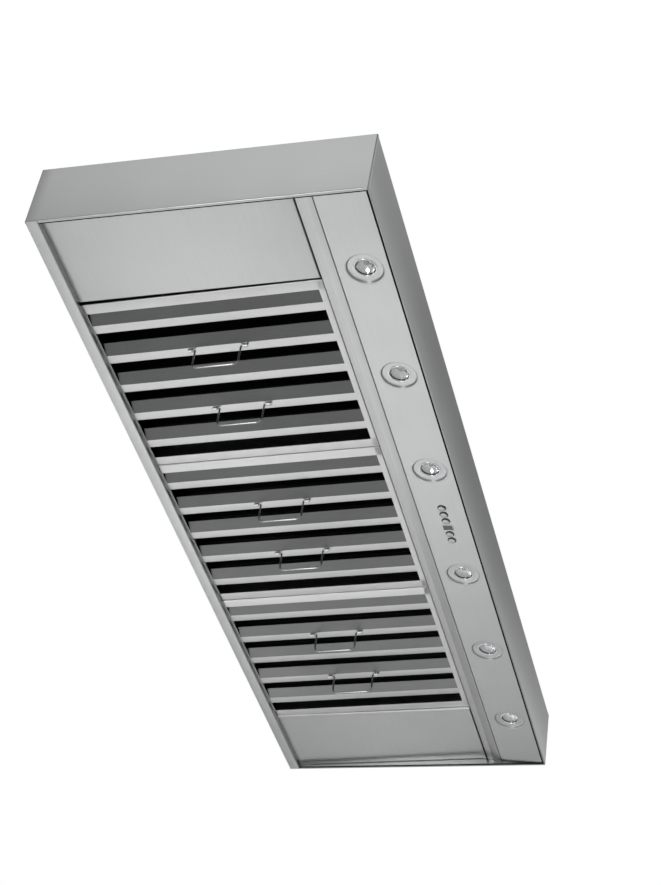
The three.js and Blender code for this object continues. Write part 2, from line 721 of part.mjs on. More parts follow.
// A squirrel-cage wheel with a central disc, a hub and the shaft that runs into the motor.
function impeller(name, side) {
  const half = IMPELLER_WIDTH / 2;
  const sides = 20;
  const rimDepth = 2;
  const inner = IMPELLER_RADIUS - BLADE_DEPTH;
  const hub = 12;
  const disc = barY(IMPELLER_RADIUS - 2, 0, 0, -rimDepth / 2, rimDepth / 2, sides);
  const hubBar = barY(hub, 0, 0, -half / 3, half / 3, 16);
  const shaft = barY(SHAFT_RADIUS, 0, 0, motorFace() - 8, half / 3, 16);
  const rimHole = circle(0, 0, inner, sides);
  const rims = [-half, half - rimDepth].map((y) => (
    extrudeY(circle(0, 0, IMPELLER_RADIUS, sides), y, y + rimDepth, [rimHole])));
  const blades = Array.from({ length: BLADE_COUNT }, (_, i) => (
    block([inner + 1, 1 - half, -0.8], [IMPELLER_RADIUS - 1, half - 1, 0.8])
      .rotateY((2 * Math.PI * i) / BLADE_COUNT)));
  const mesh = named(name, build([disc, hubBar, shaft, ...rims, ...blades]), steel(GALVANISED, 0.45));
  mesh.position.set(side * scrollX, 0, scrollZ);
  return mesh;
}

// The face of the motor that looks at the impeller.
function motorFace() {
  return -scrollOuter / 2 - MOTOR_STANDOFF;
}

// A round motor on three arms whose feet stand on the scroll's side.
function blowerMotor(name, side) {
  const face = motorFace();
  const body = barY(MOTOR_RADIUS, 0, 0, face - MOTOR_LENGTH, face, 24);
  const boss = barY(12, 0, 0, face - 1, face + 3, 16);
  const reach = INLET_RADIUS + 8;
  const [armHalf, armDepth] = [6, 4];
  const arm = build([
    block([0, face - armDepth, -armHalf], [reach - armHalf, face - 1, armHalf]),
    block([reach - armHalf, face - armDepth, -armHalf], [reach + armHalf, -scrollOuter / 2 - GAP, armHalf]),
  ]);
  const arms = [0, 1, 2].map((i) => arm.clone().rotateY(((2 * i + 0.5) * Math.PI) / 3));
  const bore = barY(SHAFT_RADIUS + SEAM, 0, 0, face - 12, face + 5, 16);
  const mesh = named(name, build([body, boss, ...arms], [bore]), steel(BLACK_PAINT, 0.55));
  mesh.position.set(side * scrollX, 0, scrollZ);
  return mesh;
}

// The sheet-metal box that joins both scrolls to the canopy opening and carries the collars.
function blowerBox() {
  const outer = block([-boxHalfX, -boxHalfY, GAP], [boxHalfX, boxHalfY, BOX_HEIGHT]);
  const flange = ring(
    [boxHalfX + BOX_FLANGE, boxHalfY + BOX_FLANGE], [boxHalfX, boxHalfY], GAP, GAP + BOX_SHEET);
  const inner = block(
    [-boxHalfX + BOX_SHEET, -boxHalfY + BOX_SHEET, -1],
    [boxHalfX - BOX_SHEET, boxHalfY - BOX_SHEET, BOX_HEIGHT - BOX_SHEET]);
  const holes = [-1, 1].map((side) => (
    barZ(DUCT_RADIUS - COLLAR_FLANGE, side * collarX, 0, BOX_HEIGHT - 10, BOX_HEIGHT + 1, 28)));
  return named('blower_box', build([outer, flange], [inner, ...holes]), steel(GALVANISED, 0.5));
}

// A round duct collar that stands on the blower box.
function ductCollar(name, side) {
  const bore = DUCT_RADIUS - COLLAR_SHEET;
  const foot = DUCT_RADIUS + COLLAR_FLANGE;
  const profile = [
    [bore, 0], [foot, 0], [foot, COLLAR_SHEET], [DUCT_RADIUS, COLLAR_SHEET],
    [DUCT_RADIUS, COLLAR_HEIGHT], [bore, COLLAR_HEIGHT], [bore, 0],
  ];
  const mesh = named(name, turned(profile, 28), steel(GALVANISED, 0.45));
  mesh.position.set(side * collarX, 0, BOX_HEIGHT + GAP);
  return mesh;
}

// One half of a butterfly damper. Its own origin is the middle of its hinge barrel.
function damperFlap(name, side, half) {
  const bore = DUCT_RADIUS - COLLAR_SHEET;
  const radius = bore - FLAP_CLEARANCE;
  const length = Math.sqrt(radius ** 2 - (FLAP_OFFSET + FLAP_BARREL) ** 2) - FLAP_BARREL;
  const steps = 14;
  const limit = Math.acos((FLAP_OFFSET + 1) / radius);
  const rim = Array.from({ length: steps + 1 }, (_, i) => {
    const turn = -limit + (2 * limit * i) / steps;
    return [radius * Math.cos(turn) - FLAP_OFFSET, radius * Math.sin(turn)];
  });
  const plate = extrudeZ(rim, -FLAP_SHEET / 2, FLAP_SHEET / 2);
  const barrel = barY(FLAP_BARREL, 0, 0, -length, length, 10);
  const mesh = named(name, build([plate, barrel]), steel(GALVANISED, 0.45));
  mesh.position.set(side * collarX + half * FLAP_OFFSET, 0, BOX_HEIGHT + GAP + FLAP_HEIGHT);
  if (half < 0) mesh.rotation.z = Math.PI;
  return mesh;
}

function blowerGroup() {
  const group = new THREE.Group();
  group.position.z = CANOPY_HEIGHT;
  group.add(blowerBox());
  [['left', -1], ['right', 1]].forEach(([name, side]) => {
    group.add(
      blowerHousing(`blower_housing_${name}`, side),
      impeller(`impeller_${name}`, side),
      blowerMotor(`blower_motor_${name}`, side),
      ductCollar(`duct_collar_${name}`, side),
      damperFlap(`damper_flap_${name}_a`, side, -1),
      damperFlap(`damper_flap_${name}_b`, side, 1));
  });
  return group;
}

// Frames, covers and the ceiling plate

// Four angle legs tied by a ring of flat bars at each end, with an inward flange on top if asked.
function angleFrame(name, half, z0, z1, topFlange) {
  const [halfX, halfY] = half;
  const inside = half.map((size) => size - FRAME_BAR);
  const leg = bentSheet([[FRAME_ANGLE, 0], [0, 0], [0, FRAME_ANGLE]].reverse(), FRAME_BAR);
  const legs = [[-1, -1], [-1, 1], [1, -1], [1, 1]].map(([sideX, sideY]) => {
    const points = leg.map(([u, v]) => [sideX * (halfX - u), sideY * (halfY - v)]);
    return extrudeZ(points, z0 + FRAME_ANGLE, z1 - FRAME_ANGLE);
  });
  const pieces = [
    ring(half, inside, z0, z0 + FRAME_ANGLE), ring(half, inside, z1 - FRAME_ANGLE, z1), ...legs];
  if (topFlange > 0) {
    pieces.push(ring(inside, half.map((size) => size - topFlange), z1 - FRAME_BAR, z1));
  }
  return named(name, build(pieces), steel(GALVANISED, 0.5));
}

// The front half of a duct cover: a face with two sides that stop at the middle seam.
function coverHalf(name, [halfX, halfY], z0, z1, rear) {
  const path = [[-halfX, -GAP], [-halfX, -halfY], [halfX, -halfY], [halfX, -GAP]];
  const mesh = named(name, extrudeZ(bentSheet(path, COVER_SHEET), z0, z1), steel(BRUSHED));
  if (rear) mesh.rotation.z = Math.PI;
  return mesh;
}

function ceilingPlate() {
  const [halfX, halfY] = upperCoverHalf.map((half) => half - COVER_SHEET - GAP);
  const plate = block([-halfX, -halfY, -CEILING_PLATE], [halfX, halfY, 0]);
  const ducts = [-1, 1].map((side) => (
    barZ(DUCT_RADIUS + DUCT_HOLE_CLEARANCE, side * collarX, 0, -CEILING_PLATE - 1, 1, 28)));
  const screws = [[-1, -1], [-1, 1], [1, -1], [1, 1]].map(([sideX, sideY]) => (
    barZ(4, sideX * (halfX - 12 - FRAME_TOP_FLANGE), sideY * (halfY - 12 - FRAME_TOP_FLANGE),
      -CEILING_PLATE - 1, 1, 12)));
  const cable = barZ(14, 0, -halfY + 45, -CEILING_PLATE - 1, 1, 16);
  return named('ceiling_plate', build([plate], [...ducts, ...screws, cable]), steel(GALVANISED, 0.5));
}

// Assembly

function canopyGroup() {
  const group = new THREE.Group();
  group.position.z = -CEILING_TO_CANOPY - CANOPY_HEIGHT;
  group.add(
    canopyShell(),
    endPanel('left_end_panel', -1),
    endPanel('right_end_panel', 1),
    lightPanelGroup(),
    filterRail(),
    fillerPanel('left_filler_panel', -1),
    fillerPanel('right_filler_panel', 1),
    hungBox('control_box', CONTROL_BOX, CONTROL_BOX_X, GALVANISED),
    hungBox('junction_box', JUNCTION_BOX, JUNCTION_BOX_X, GALVANISED),
    blowerGroup());
  for (let i = 1; i <= FILTER_COUNT; i += 1) group.add(filterGroup(i));
  const base = CANOPY_HEIGHT + GAP;
  const coverTop = CANOPY_HEIGHT + CEILING_TO_CANOPY - LOWER_COVER_END;
  const frameTop = CANOPY_HEIGHT + CEILING_TO_CANOPY - LOWER_FRAME_END;
  group.add(
    angleFrame('lower_frame', lowerFrameHalf, base, frameTop, 0),
    coverHalf('lower_cover_front', lowerCoverHalf, base, coverTop, false),
    coverHalf('lower_cover_rear', lowerCoverHalf, base, coverTop, true));
  return group;
}

const hood = new THREE.Group();
const underPlate = -CEILING_PLATE - GAP;
hood.add(
  ceilingPlate(),
  angleFrame(
    'upper_frame', upperFrameHalf, UPPER_FRAME_END - CEILING_TO_CANOPY, underPlate, FRAME_TOP_FLANGE),
  coverHalf('upper_cover_front', upperCoverHalf, UPPER_COVER_END - CEILING_TO_CANOPY, 0, false),
  coverHalf('upper_cover_rear', upperCoverHalf, UPPER_COVER_END - CEILING_TO_CANOPY, 0, true),
  canopyGroup());

export default hood;
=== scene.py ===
"""Island range hood: the finished look of every piece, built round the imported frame.

Lengths are given in millimetres and turned to metres when a mesh is made. The origin is at the
middle of the ceiling plate's top. X runs along the canopy, the lamps are towards -Y and Z is up.
"""

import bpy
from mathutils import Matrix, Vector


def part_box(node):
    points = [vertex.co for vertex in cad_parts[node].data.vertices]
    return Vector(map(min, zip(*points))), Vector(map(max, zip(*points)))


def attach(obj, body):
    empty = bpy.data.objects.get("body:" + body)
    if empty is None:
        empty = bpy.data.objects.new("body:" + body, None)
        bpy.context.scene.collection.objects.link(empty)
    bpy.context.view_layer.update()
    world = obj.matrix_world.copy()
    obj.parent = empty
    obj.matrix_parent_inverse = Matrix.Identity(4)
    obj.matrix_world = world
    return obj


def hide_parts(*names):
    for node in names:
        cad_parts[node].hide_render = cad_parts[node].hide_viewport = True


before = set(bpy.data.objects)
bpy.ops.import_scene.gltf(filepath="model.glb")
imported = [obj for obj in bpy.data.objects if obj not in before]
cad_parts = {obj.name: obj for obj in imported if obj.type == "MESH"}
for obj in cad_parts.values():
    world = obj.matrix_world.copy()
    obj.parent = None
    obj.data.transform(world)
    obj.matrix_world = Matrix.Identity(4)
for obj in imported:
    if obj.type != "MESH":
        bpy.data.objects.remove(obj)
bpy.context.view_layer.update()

import math

import bpy
import numpy as np
from mathutils import Matrix

bl_info = {
    "name": "Island Range Hood",
    "version": (1, 0, 0),
    "blender": (4, 5, 0),
    "location": "View3D > Sidebar > Range Hood",
    "description": "Builds the sheet metal, filters, lamps, blowers and covers of an island range hood",
    "category": "Object",
}

MM = 0.001
SMOOTH_BELOW = math.radians(32)

# Sheet metal, in millimetres
SHEET = 1.5
THIN_SHEET = 1.2
BEND_STEPS = 5


def node_box(name):
    """Lowest and highest corner of a CAD node, in millimetres."""
    low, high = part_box(name)
    return np.array(low) / MM, np.array(high) / MM


SHELL_LOW, SHELL_HIGH = node_box("canopy_shell")
WALL_LOW, WALL_HIGH = node_box("left_end_panel")
END_X = -WALL_LOW[0]
FRONT_Y, REAR_Y = SHELL_LOW[1], SHELL_HIGH[1]
RIM_Z, TOP_Z = SHELL_LOW[2], SHELL_HIGH[2]


# Colours and materials -------------------------------------------------------------------------


def linear(code):
    """A hex sRGB colour as linear red, green, blue and alpha, by the sRGB curve."""
    values = np.array([int(code[i : i + 2], 16) for i in (1, 3, 5)]) / 255
    low = values / 12.92
    high = ((values + 0.055) / 1.055) ** 2.4
    return tuple(float(v) for v in np.where(values <= 0.04045, low, high)) + (1.0,)


def add_node(tree, kind, settings=None, links=None, **inputs):
    """Adds one node with its settings, its input values and its links from other sockets."""
    node = tree.nodes.new(kind)
    for key, value in (settings or {}).items():
        setattr(node, key, value)
    for key, value in inputs.items():
        node.inputs[key.replace("_", " ")].default_value = value
    for key, socket in (links or {}).items():
        tree.links.new(socket, node.inputs[key])
    return node


def start_material(name):
    """A new material with its tree, its Principled shader and object coordinates."""
    material = bpy.data.materials.new(name)
    material.use_nodes = True
    tree = material.node_tree
    shader = tree.nodes["Principled BSDF"]
    place = tree.nodes.new("ShaderNodeTexCoord").outputs["Object"]
    return material, tree, shader, place


def ramp(tree, factor, stops):
    """Sends a factor through a colour ramp with the given (place, hex or linear colour) stops."""
    node = add_node(tree, "ShaderNodeValToRGB", links={"Fac": factor})
    band = node.color_ramp
    while len(band.elements) < len(stops):
        band.elements.new(0.5)
    for element, (at, tone) in zip(band.elements, stops):
        element.position = at
        element.color = linear(tone) if isinstance(tone, str) else (*tone, 1.0)
    return node.outputs["Color"]


def cycles(millimetres):
    """Millimetres of a real pattern as cycles per metre of object coordinates."""
    return 1 / (millimetres * MM)


def brushed_steel(name, along, dark, light, rough, wave=0.25):
    """Stainless steel 304, belt-brushed: a satin metal whose fine parallel scratches run one way,
    so tone and gloss change from line to line, over the slow waviness of thin sheet."""
    material, tree, shader, place = start_material(name)
    # Real belt lines are about 0.15 mm apart; drawn 0.7 mm apart and 90 mm long so they show.
    scale = [cycles(0.7)] * 3
    scale["XYZ".index(along)] = cycles(90)
    stretched = add_node(tree, "ShaderNodeMapping", links={"Vector": place}, Scale=scale)
    lines = add_node(
        tree, "ShaderNodeTexNoise", links={"Vector": stretched.outputs[0]},
        Scale=1.0, Detail=4.0, Roughness=0.6)
    cloud = add_node(
        tree, "ShaderNodeTexNoise", links={"Vector": place},
        Scale=cycles(260), Detail=2.0, Roughness=0.45)
    mixed = add_node(
        tree, "ShaderNodeMix", {"data_type": "FLOAT"},
        {"A": lines.outputs["Fac"], "B": cloud.outputs["Fac"]}, Factor=0.5)
    tree.links.new(ramp(tree, mixed.outputs[0], [(0.36, dark), (0.64, light)]), shader.inputs["Base Color"])
    gloss = add_node(
        tree, "ShaderNodeMapRange", links={"Value": lines.outputs["Fac"]},
        **{"From_Min": 0.3, "From_Max": 0.7, "To_Min": rough - 0.02, "To_Max": rough + 0.02})
    tree.links.new(gloss.outputs[0], shader.inputs["Roughness"])
    swell = add_node(
        tree, "ShaderNodeBump", links={"Height": cloud.outputs["Fac"]}, Strength=wave, Distance=0.0012)
    grain = add_node(
        tree, "ShaderNodeBump", links={"Height": lines.outputs["Fac"], "Normal": swell.outputs[0]},
        Strength=0.04, Distance=0.00004)
    tree.links.new(grain.outputs[0], shader.inputs["Normal"])
    shader.inputs["Metallic"].default_value = 1.0
    return material


def polished_steel(name, dark, light, rough):
    """Bright steel, polished and plated: mirror-like with faint buffing marks."""
    material, tree, shader, place = start_material(name)
    # Buffing marks of about 2 mm
    marks = add_node(
        tree, "ShaderNodeTexNoise", links={"Vector": place}, Scale=cycles(2), Detail=3.0)
    tree.links.new(
        ramp(tree, marks.outputs["Fac"], [(0.3, dark), (0.7, light)]), shader.inputs["Base Color"])
    gloss = add_node(
        tree, "ShaderNodeMapRange", links={"Value": marks.outputs["Fac"]},
        **{"To_Min": rough * 0.7, "To_Max": rough * 1.4})
    tree.links.new(gloss.outputs[0], shader.inputs["Roughness"])
    shader.inputs["Metallic"].default_value = 1.0
    return material


def galvanised_steel(name):
    """Hot-dip galvanised sheet: grey zinc whose crystals, the spangle, differ in tone and gloss."""
    material, tree, shader, place = start_material(name)
    # Spangle crystals are 5 to 12 mm across
    crystals = add_node(
        tree, "ShaderNodeTexVoronoi", links={"Vector": place}, Scale=cycles(9), Randomness=1.0)
    fine = add_node(
        tree, "ShaderNodeTexNoise", links={"Vector": place}, Scale=cycles(3), Detail=4.0)
    tone = add_node(
        tree, "ShaderNodeSeparateColor", links={"Color": crystals.outputs["Color"]})
    mixed = add_node(
        tree, "ShaderNodeMix", {"data_type": "FLOAT"},
        {"A": tone.outputs[0], "B": fine.outputs["Fac"]}, Factor=0.4)
    tree.links.new(
        ramp(tree, mixed.outputs[0], [(0.2, "#8f9497"), (0.8, "#b9bdbf")]), shader.inputs["Base Color"])
    gloss = add_node(
        tree, "ShaderNodeMapRange", links={"Value": tone.outputs[1]}, **{"To_Min": 0.38, "To_Max": 0.6})
    tree.links.new(gloss.outputs[0], shader.inputs["Roughness"])
    bump = add_node(
        tree, "ShaderNodeBump", links={"Height": fine.outputs["Fac"]}, Strength=0.2, Distance=0.0001)
    tree.links.new(bump.outputs[0], shader.inputs["Normal"])
    shader.inputs["Metallic"].default_value = 1.0
    return material


def moulded(name, dark, light, rough, grain, depth, coat=0.0):
    """A dull non-metal such as powder coat, ABS or acrylic, with its own fine texture."""
    material, tree, shader, place = start_material(name)
    texture = add_node(
        tree, "ShaderNodeTexNoise", links={"Vector": place}, Scale=cycles(grain), Detail=5.0)
    tree.links.new(
        ramp(tree, texture.outputs["Fac"], [(0.3, dark), (0.7, light)]), shader.inputs["Base Color"])
    gloss = add_node(
        tree, "ShaderNodeMapRange", links={"Value": texture.outputs["Fac"]},
        **{"To_Min": rough - 0.06, "To_Max": rough + 0.06})
    tree.links.new(gloss.outputs[0], shader.inputs["Roughness"])
    bump = add_node(
        tree, "ShaderNodeBump", links={"Height": texture.outputs["Fac"]},
        Strength=0.35, Distance=depth * MM)
    tree.links.new(bump.outputs[0], shader.inputs["Normal"])
    shader.inputs["Coat Weight"].default_value = coat
    return material


def clear_glass(name):
    """Pressed borosilicate lens glass: clear, with a faint ripple from the mould."""
    material, tree, shader, place = start_material(name)
    ripple = add_node(
        tree, "ShaderNodeTexNoise", links={"Vector": place}, Scale=cycles(5), Detail=1.0)
    bump = add_node(
        tree, "ShaderNodeBump", links={"Height": ripple.outputs["Fac"]}, Strength=0.2, Distance=0.0003)
    tree.links.new(bump.outputs[0], shader.inputs["Normal"])
    shader.inputs["Base Color"].default_value = linear("#f7f9f9")
    shader.inputs["Transmission Weight"].default_value = 1.0
    shader.inputs["Roughness"].default_value = 0.04
    shader.inputs["IOR"].default_value = 1.47
    return material


# Brushed sheet is satin with lines along its belt's run. The filter's wings use the same sheet drawn
# darker, painted shade of the slots, and the baffles over the slots are near black, painted shade of
# the hood's unlit inside. Polished and satin steel carry no lines, and chrome is close to a mirror.
# Zinc shows its spangle. Powder coat has a low sheen, moulded ABS a fine grain, the black cords, painted
# shade of the gaps at the panel's edges, no sheen at all, and smoked acrylic a clear gloss over near black.
MAKERS = {
    "steel along the hood": lambda n, f: brushed_steel(n, "X", f.steel_dark, f.steel_light, f.satin),
    "steel across the hood": lambda n, f: brushed_steel(n, "Y", f.steel_dark, f.steel_light, f.satin),
    "steel upright": lambda n, f: brushed_steel(n, "Z", f.steel_dark, f.steel_light, f.satin),
    "filter steel": lambda n, f: brushed_steel(n, "Y", f.filter_dark, f.filter_light, f.satin + 0.04),
    # The wings' steel: the filter steel drawn darker, painted shade of the slots.
    "filter steel mill finish": lambda n, f: brushed_steel(n, "Y", "#737474", "#808181", f.satin),
    # The upper baffles' steel drawn near black, painted shade of the hood's unlit inside.
    "blackened baffle steel": lambda n, f: brushed_steel(n, "Y", "#3a3a3a", "#494949", f.satin + 0.1),
    "polished steel": lambda n, f: polished_steel(n, "#b4b6b8", "#c3c5c7", 0.12),
    "satin steel": lambda n, f: polished_steel(n, "#b2b3b4", "#bcbdbe", 0.3),
    "chrome plate": lambda n, f: polished_steel(n, "#eef0f1", "#f6f7f8", 0.05),
    "galvanised steel": lambda n, f: galvanised_steel(n),
    "black powder coat": lambda n, f: moulded(n, "#1c1d1f", "#2a2b2e", 0.5, 0.8, 0.05),
    "black ABS": lambda n, f: moulded(n, "#17181a", "#202124", 0.45, 1.5, 0.03),
    # Near-black cords along the panel's edges, painted shade of the gaps there.
    "black foam cord": lambda n, f: moulded(n, "#0b0b0c", "#141415", 0.9, 0.6, 0.1),
    "smoked acrylic": lambda n, f: moulded(n, "#0d0f11", "#15181b", 0.12, 6.0, 0.002, 1.0),
    "white diode": lambda n, f: moulded(n, "#e9e7d8", "#f4f2e6", 0.4, 1.0, 0.02),
    "lens glass": lambda n, f: clear_glass(n),
}


def finish(name):
    """The named material, made the first time that it is asked for. The ending keeps it apart from
    the frame's own materials."""
    label = name.replace(" ", "_") + "_finish"
    found = bpy.data.materials.get(label)
    return found or MAKERS[name](label, bpy.context.scene.range_hood)


# Shapes: every function returns (points, faces), with points in millimetres ---------------------


def rounded(points, radii, steps=BEND_STEPS):
    """A polyline with each inner corner replaced by an arc that touches both of its sides: the arc
    starts and ends radius / tan(half the corner's angle) from the corner, about a centre on the
    corner's bisector at radius / sin(half the angle)."""
    points = np.asarray(points, float)
    radii = np.broadcast_to(radii, len(points) - 2)
    parts = [points[:1]]
    for before, corner, after, radius in zip(points, points[1:], points[2:], radii):
        a = (before - corner) / np.linalg.norm(before - corner)
        b = (after - corner) / np.linalg.norm(after - corner)
        half = math.acos(float(np.clip(a @ b, -1, 1))) / 2
        middle = (a + b) / np.linalg.norm(a + b)
        centre = corner + middle * radius / math.sin(half)
        start = corner + a * radius / math.tan(half) - centre
        end = corner + b * radius / math.tan(half) - centre
        share = np.linspace(0, 1, steps + 1)[:, None]
        whole = math.pi - 2 * half
        weights = np.sin(whole * np.hstack([1 - share, share])) / math.sin(whole)
        parts.append(centre + weights[:, :1] * start + weights[:, 1:] * end)
    return np.vstack(parts + [points[-1:]])


def beside(path, distance):
    """The path moved to its left by a distance, square to each side, with mitred corners."""
    along = np.diff(path, axis=0)
    along /= np.linalg.norm(along, axis=1)[:, None]
    normal = np.stack([-along[:, 1], along[:, 0]], 1)
    before, after = np.vstack([normal[:1], normal]), np.vstack([normal, normal[-1:]])
    share = distance / (1 + (before * after).sum(1))
    return path + (before + after) * share[:, None]


def outward(points, faces):
    """The same faces, turned over if the volume that they close comes out negative."""
    total = 0.0
    for quads in faces:
        corners = points[quads]
        for k in range(1, quads.shape[1] - 1):
            total += np.einsum(
                "ij,ij->", corners[:, 0], np.cross(corners[:, k], corners[:, k + 1]))
    return points, [quads[:, ::-1] if total < 0 else quads for quads in faces]


def walled(front, back, keep=None):
    """Two matching grids of points with a wall wherever a kept cell has no kept neighbour, which
    makes one closed sheet with its openings."""
    rows, columns = front.shape[0] - 1, front.shape[1] - 1
    keep = np.ones((rows, columns), bool) if keep is None else keep
    f = np.arange((rows + 1) * (columns + 1)).reshape(rows + 1, columns + 1)
    b = f + f.size
    i, j = np.nonzero(keep)
    quads = [
        np.stack([f[i, j], f[i + 1, j], f[i + 1, j + 1], f[i, j + 1]], 1),
        np.stack([b[i, j + 1], b[i + 1, j + 1], b[i + 1, j], b[i, j]], 1),
    ]
    around = np.pad(keep, 1)
    sides = [
        (around[:-2, 1:-1], (0, 0), (0, 1)),
        (around[2:, 1:-1], (1, 1), (1, 0)),
        (around[1:-1, :-2], (1, 0), (0, 0)),
        (around[1:-1, 2:], (0, 1), (1, 1)),
    ]
    for neighbour, (a, c), (d, e) in sides:
        i, j = np.nonzero(keep & ~neighbour)
        quads.append(np.stack([f[i + a, j + c], f[i + d, j + e], b[i + d, j + e], b[i + a, j + c]], 1))
    return outward(np.vstack([front.reshape(-1, 3), back.reshape(-1, 3)]), [np.vstack(quads)])


AXES = {"X": (2, 0, 1), "Y": (0, 2, 1), "Z": (0, 1, 2)}


def carried(section, stations, axis):
    """Points of a flat section, given as (u, v), repeated at stations along an axis. Along X the
    section is (y, z), along Y it is (x, z) and along Z it is (x, y)."""
    stations = np.asarray(stations, float)
    grid = np.zeros((len(section), len(stations), 3))
    grid[:, :, 0], grid[:, :, 1] = section[:, :1], section[:, 1:]
    grid[:, :, 2] = stations[None, :]
    return grid[:, :, list(AXES[axis])]


def bent_sheet(path, radius, thickness, stations, axis, openings=()):
    """A sheet folded along a path of outer corners and carried along an axis. The thickness lies
    to the path's left. An opening is a box in (u, v, station) whose cells are left out."""
    outer = rounded(path, radius)
    inner = beside(outer, thickness)
    cuts = sorted({float(s) for s in stations} | {s for o in openings for s in o[2]})
    front, back = carried(outer, cuts, axis), carried(inner, cuts, axis)
    keep = np.ones((len(outer) - 1, len(cuts) - 1), bool)
    middle = (outer[1:] + outer[:-1]) / 2
    along = (np.array(cuts[1:]) + np.array(cuts[:-1])) / 2
    for (u0, u1), (v0, v1), (s0, s1) in openings:
        inside = (middle[:, 0] > u0) & (middle[:, 0] < u1) & (middle[:, 1] > v0) & (middle[:, 1] < v1)
        keep &= ~(inside[:, None] & ((along > s0) & (along < s1))[None, :])
    return walled(front, back, keep)


def turned(profile, sides, closed=True):
    """A profile of (radius, height) points turned round Z. Points on the axis become one pole."""
    profile = np.asarray(profile, float)
    turn = np.linspace(0, 2 * math.pi, sides, endpoint=False)
    points, rings = [], []
    count = 0
    for r, z in profile:
        if r < 1e-9:
            points.append([[0, 0, z]])
            rings.append(np.full(sides, count))
            count += 1
        else:
            points.append(np.stack([r * np.cos(turn), r * np.sin(turn), np.full(sides, z)], 1))
            rings.append(count + np.arange(sides))
            count += sides
    points = np.vstack(points)
    quads, fans = [], []
    pairs = list(zip(rings, rings[1:])) + ([(rings[-1], rings[0])] if closed else [])
    for a, b in pairs:
        a_pole, b_pole = a[0] == a[-1], b[0] == b[-1]
        if a_pole and b_pole:
            continue
        a1, b1 = np.roll(a, -1), np.roll(b, -1)
        if a_pole:
            fans.append(np.stack([a, b, b1], 1))
        elif b_pole:
            fans.append(np.stack([a, b, a1], 1))
        else:
            quads.append(np.stack([a, b, b1, a1], 1))
    return outward(points, [np.vstack(part) for part in (quads, fans) if part])


def tube(line, radius, sides=12):
    """A round tube along a flat line of points: at each point a circle stands square to the line's
    direction, which is the mean of the directions before and after it, and each end is closed."""
    line = np.asarray(line, float)
    step = np.diff(line, axis=0)
    step /= np.linalg.norm(step, axis=1)[:, None]
    along = np.vstack([step[:1], step]) + np.vstack([step, step[-1:]])
    along /= np.linalg.norm(along, axis=1)[:, None]
    flat = np.linalg.svd(line - line.mean(0))[2][2]
    across = np.cross(along, flat)
    turn = np.linspace(0, 2 * math.pi, sides, endpoint=False)[None, :, None]
    rings = line[:, None] + radius * (np.cos(turn) * across[:, None] + np.sin(turn) * flat)
    count = len(line)
    index = np.arange(count * sides).reshape(count, sides)
    a, b = index[:-1], index[1:]
    quads = np.stack([a, b, np.roll(b, -1, 1), np.roll(a, -1, 1)], 2).reshape(-1, 4)
    caps = np.stack([index[0][::-1], index[-1]])
    return outward(rings.reshape(-1, 3), [quads, caps])


def slab(low, high, edge=0.4):
    """A block between two corners with its edges cut back: an eight-sided section in (x, y), which is
    a rectangle without its corners, at four heights, the end ones drawn in by the edge."""
    low, high = np.asarray(low, float), np.asarray(high, float)
    edge = min(edge, (high - low).min() / 2.01)
    loops = []
    for inset, z in ((edge, low[2]), (0, low[2] + edge), (0, high[2] - edge), (edge, high[2])):
        a, b = low[:2] + inset, high[:2] - inset
        cut = max(edge - inset, 0.02)
        corners = [
            (b[0], a[1] + cut), (b[0], b[1] - cut), (b[0] - cut, b[1]), (a[0] + cut, b[1]),
            (a[0], b[1] - cut), (a[0], a[1] + cut), (a[0] + cut, a[1]), (b[0] - cut, a[1])]
        loops.append([(x, y, z) for x, y in corners])
    points = np.array(loops).reshape(-1, 3)
    index = np.arange(32).reshape(4, 8)
    a, b = index[:-1], index[1:]
    quads = np.stack([a, b, np.roll(b, -1, 1), np.roll(a, -1, 1)], 2).reshape(-1, 4)
    return outward(points, [quads, np.stack([index[0][::-1], index[-1]])])


def pierced_plate(xs, ys, holes, low, high):
    """A flat plate on a grid of x and y lines between two heights, with shaped holes. Each hole
    takes out a block of cells, and rays join the block's edge to the hole's own outline: a hole is
    (column range, row range, function from a direction to the outline's point)."""
    grid = np.stack(np.meshgrid(xs, ys, indexing="ij"), 2)
    keep = np.ones((len(xs) - 1, len(ys) - 1), bool)
    index = np.arange(grid[..., 0].size).reshape(grid.shape[:2])
    points, quads, rims = [grid.reshape(-1, 2)], [], []
    count = index.size
    for (i0, i1), (j0, j1), outline in holes:
        keep[i0:i1, j0:j1] = False
        edge = np.concatenate([
            index[i0:i1, j0], index[i1, j0:j1], index[i1:i0:-1, j1], index[i0, j1:j0:-1]])
        hole = outline(points[0][edge])
        inner = count + np.arange(len(edge))
        count += len(edge)
        points.append(hole)
        quads.append(np.stack([edge, np.roll(edge, -1), np.roll(inner, -1), inner], 1))
        rims.append(inner)
    i, j = np.nonzero(keep)
    quads.append(np.stack([index[i, j], index[i + 1, j], index[i + 1, j + 1], index[i, j + 1]], 1))
    flat = np.vstack(points)
    face = np.vstack(quads)
    border = np.concatenate([index[:-1, 0], index[-1, :-1], index[:0:-1, -1], index[0, :0:-1]])
    walls = [np.stack([np.roll(border, -1), border, border + count, np.roll(border, -1) + count], 1)]
    for rim in rims:
        walls.append(np.stack([rim, np.roll(rim, -1), np.roll(rim, -1) + count, rim + count], 1))
    below = np.column_stack([flat, np.full(count, low)])
    above = np.column_stack([flat, np.full(count, high)])
    return outward(np.vstack([below, above]), [np.vstack([face, face[:, ::-1] + count, *walls])])


def joined(*shapes):
    """Several shapes as one list of points and faces."""
    points, faces, count = [], [], 0
    for shape_points, shape_faces in shapes:
        points.append(shape_points)
        faces += [part + count for part in shape_faces]
        count += len(shape_points)
    return np.vstack(points), faces


def placed(shape, matrix):
    """A shape moved by a 4 by 4 matrix, in millimetres."""
    points, faces = shape
    matrix = np.asarray(matrix, float)
    return points @ matrix[:3, :3].T + matrix[:3, 3], faces


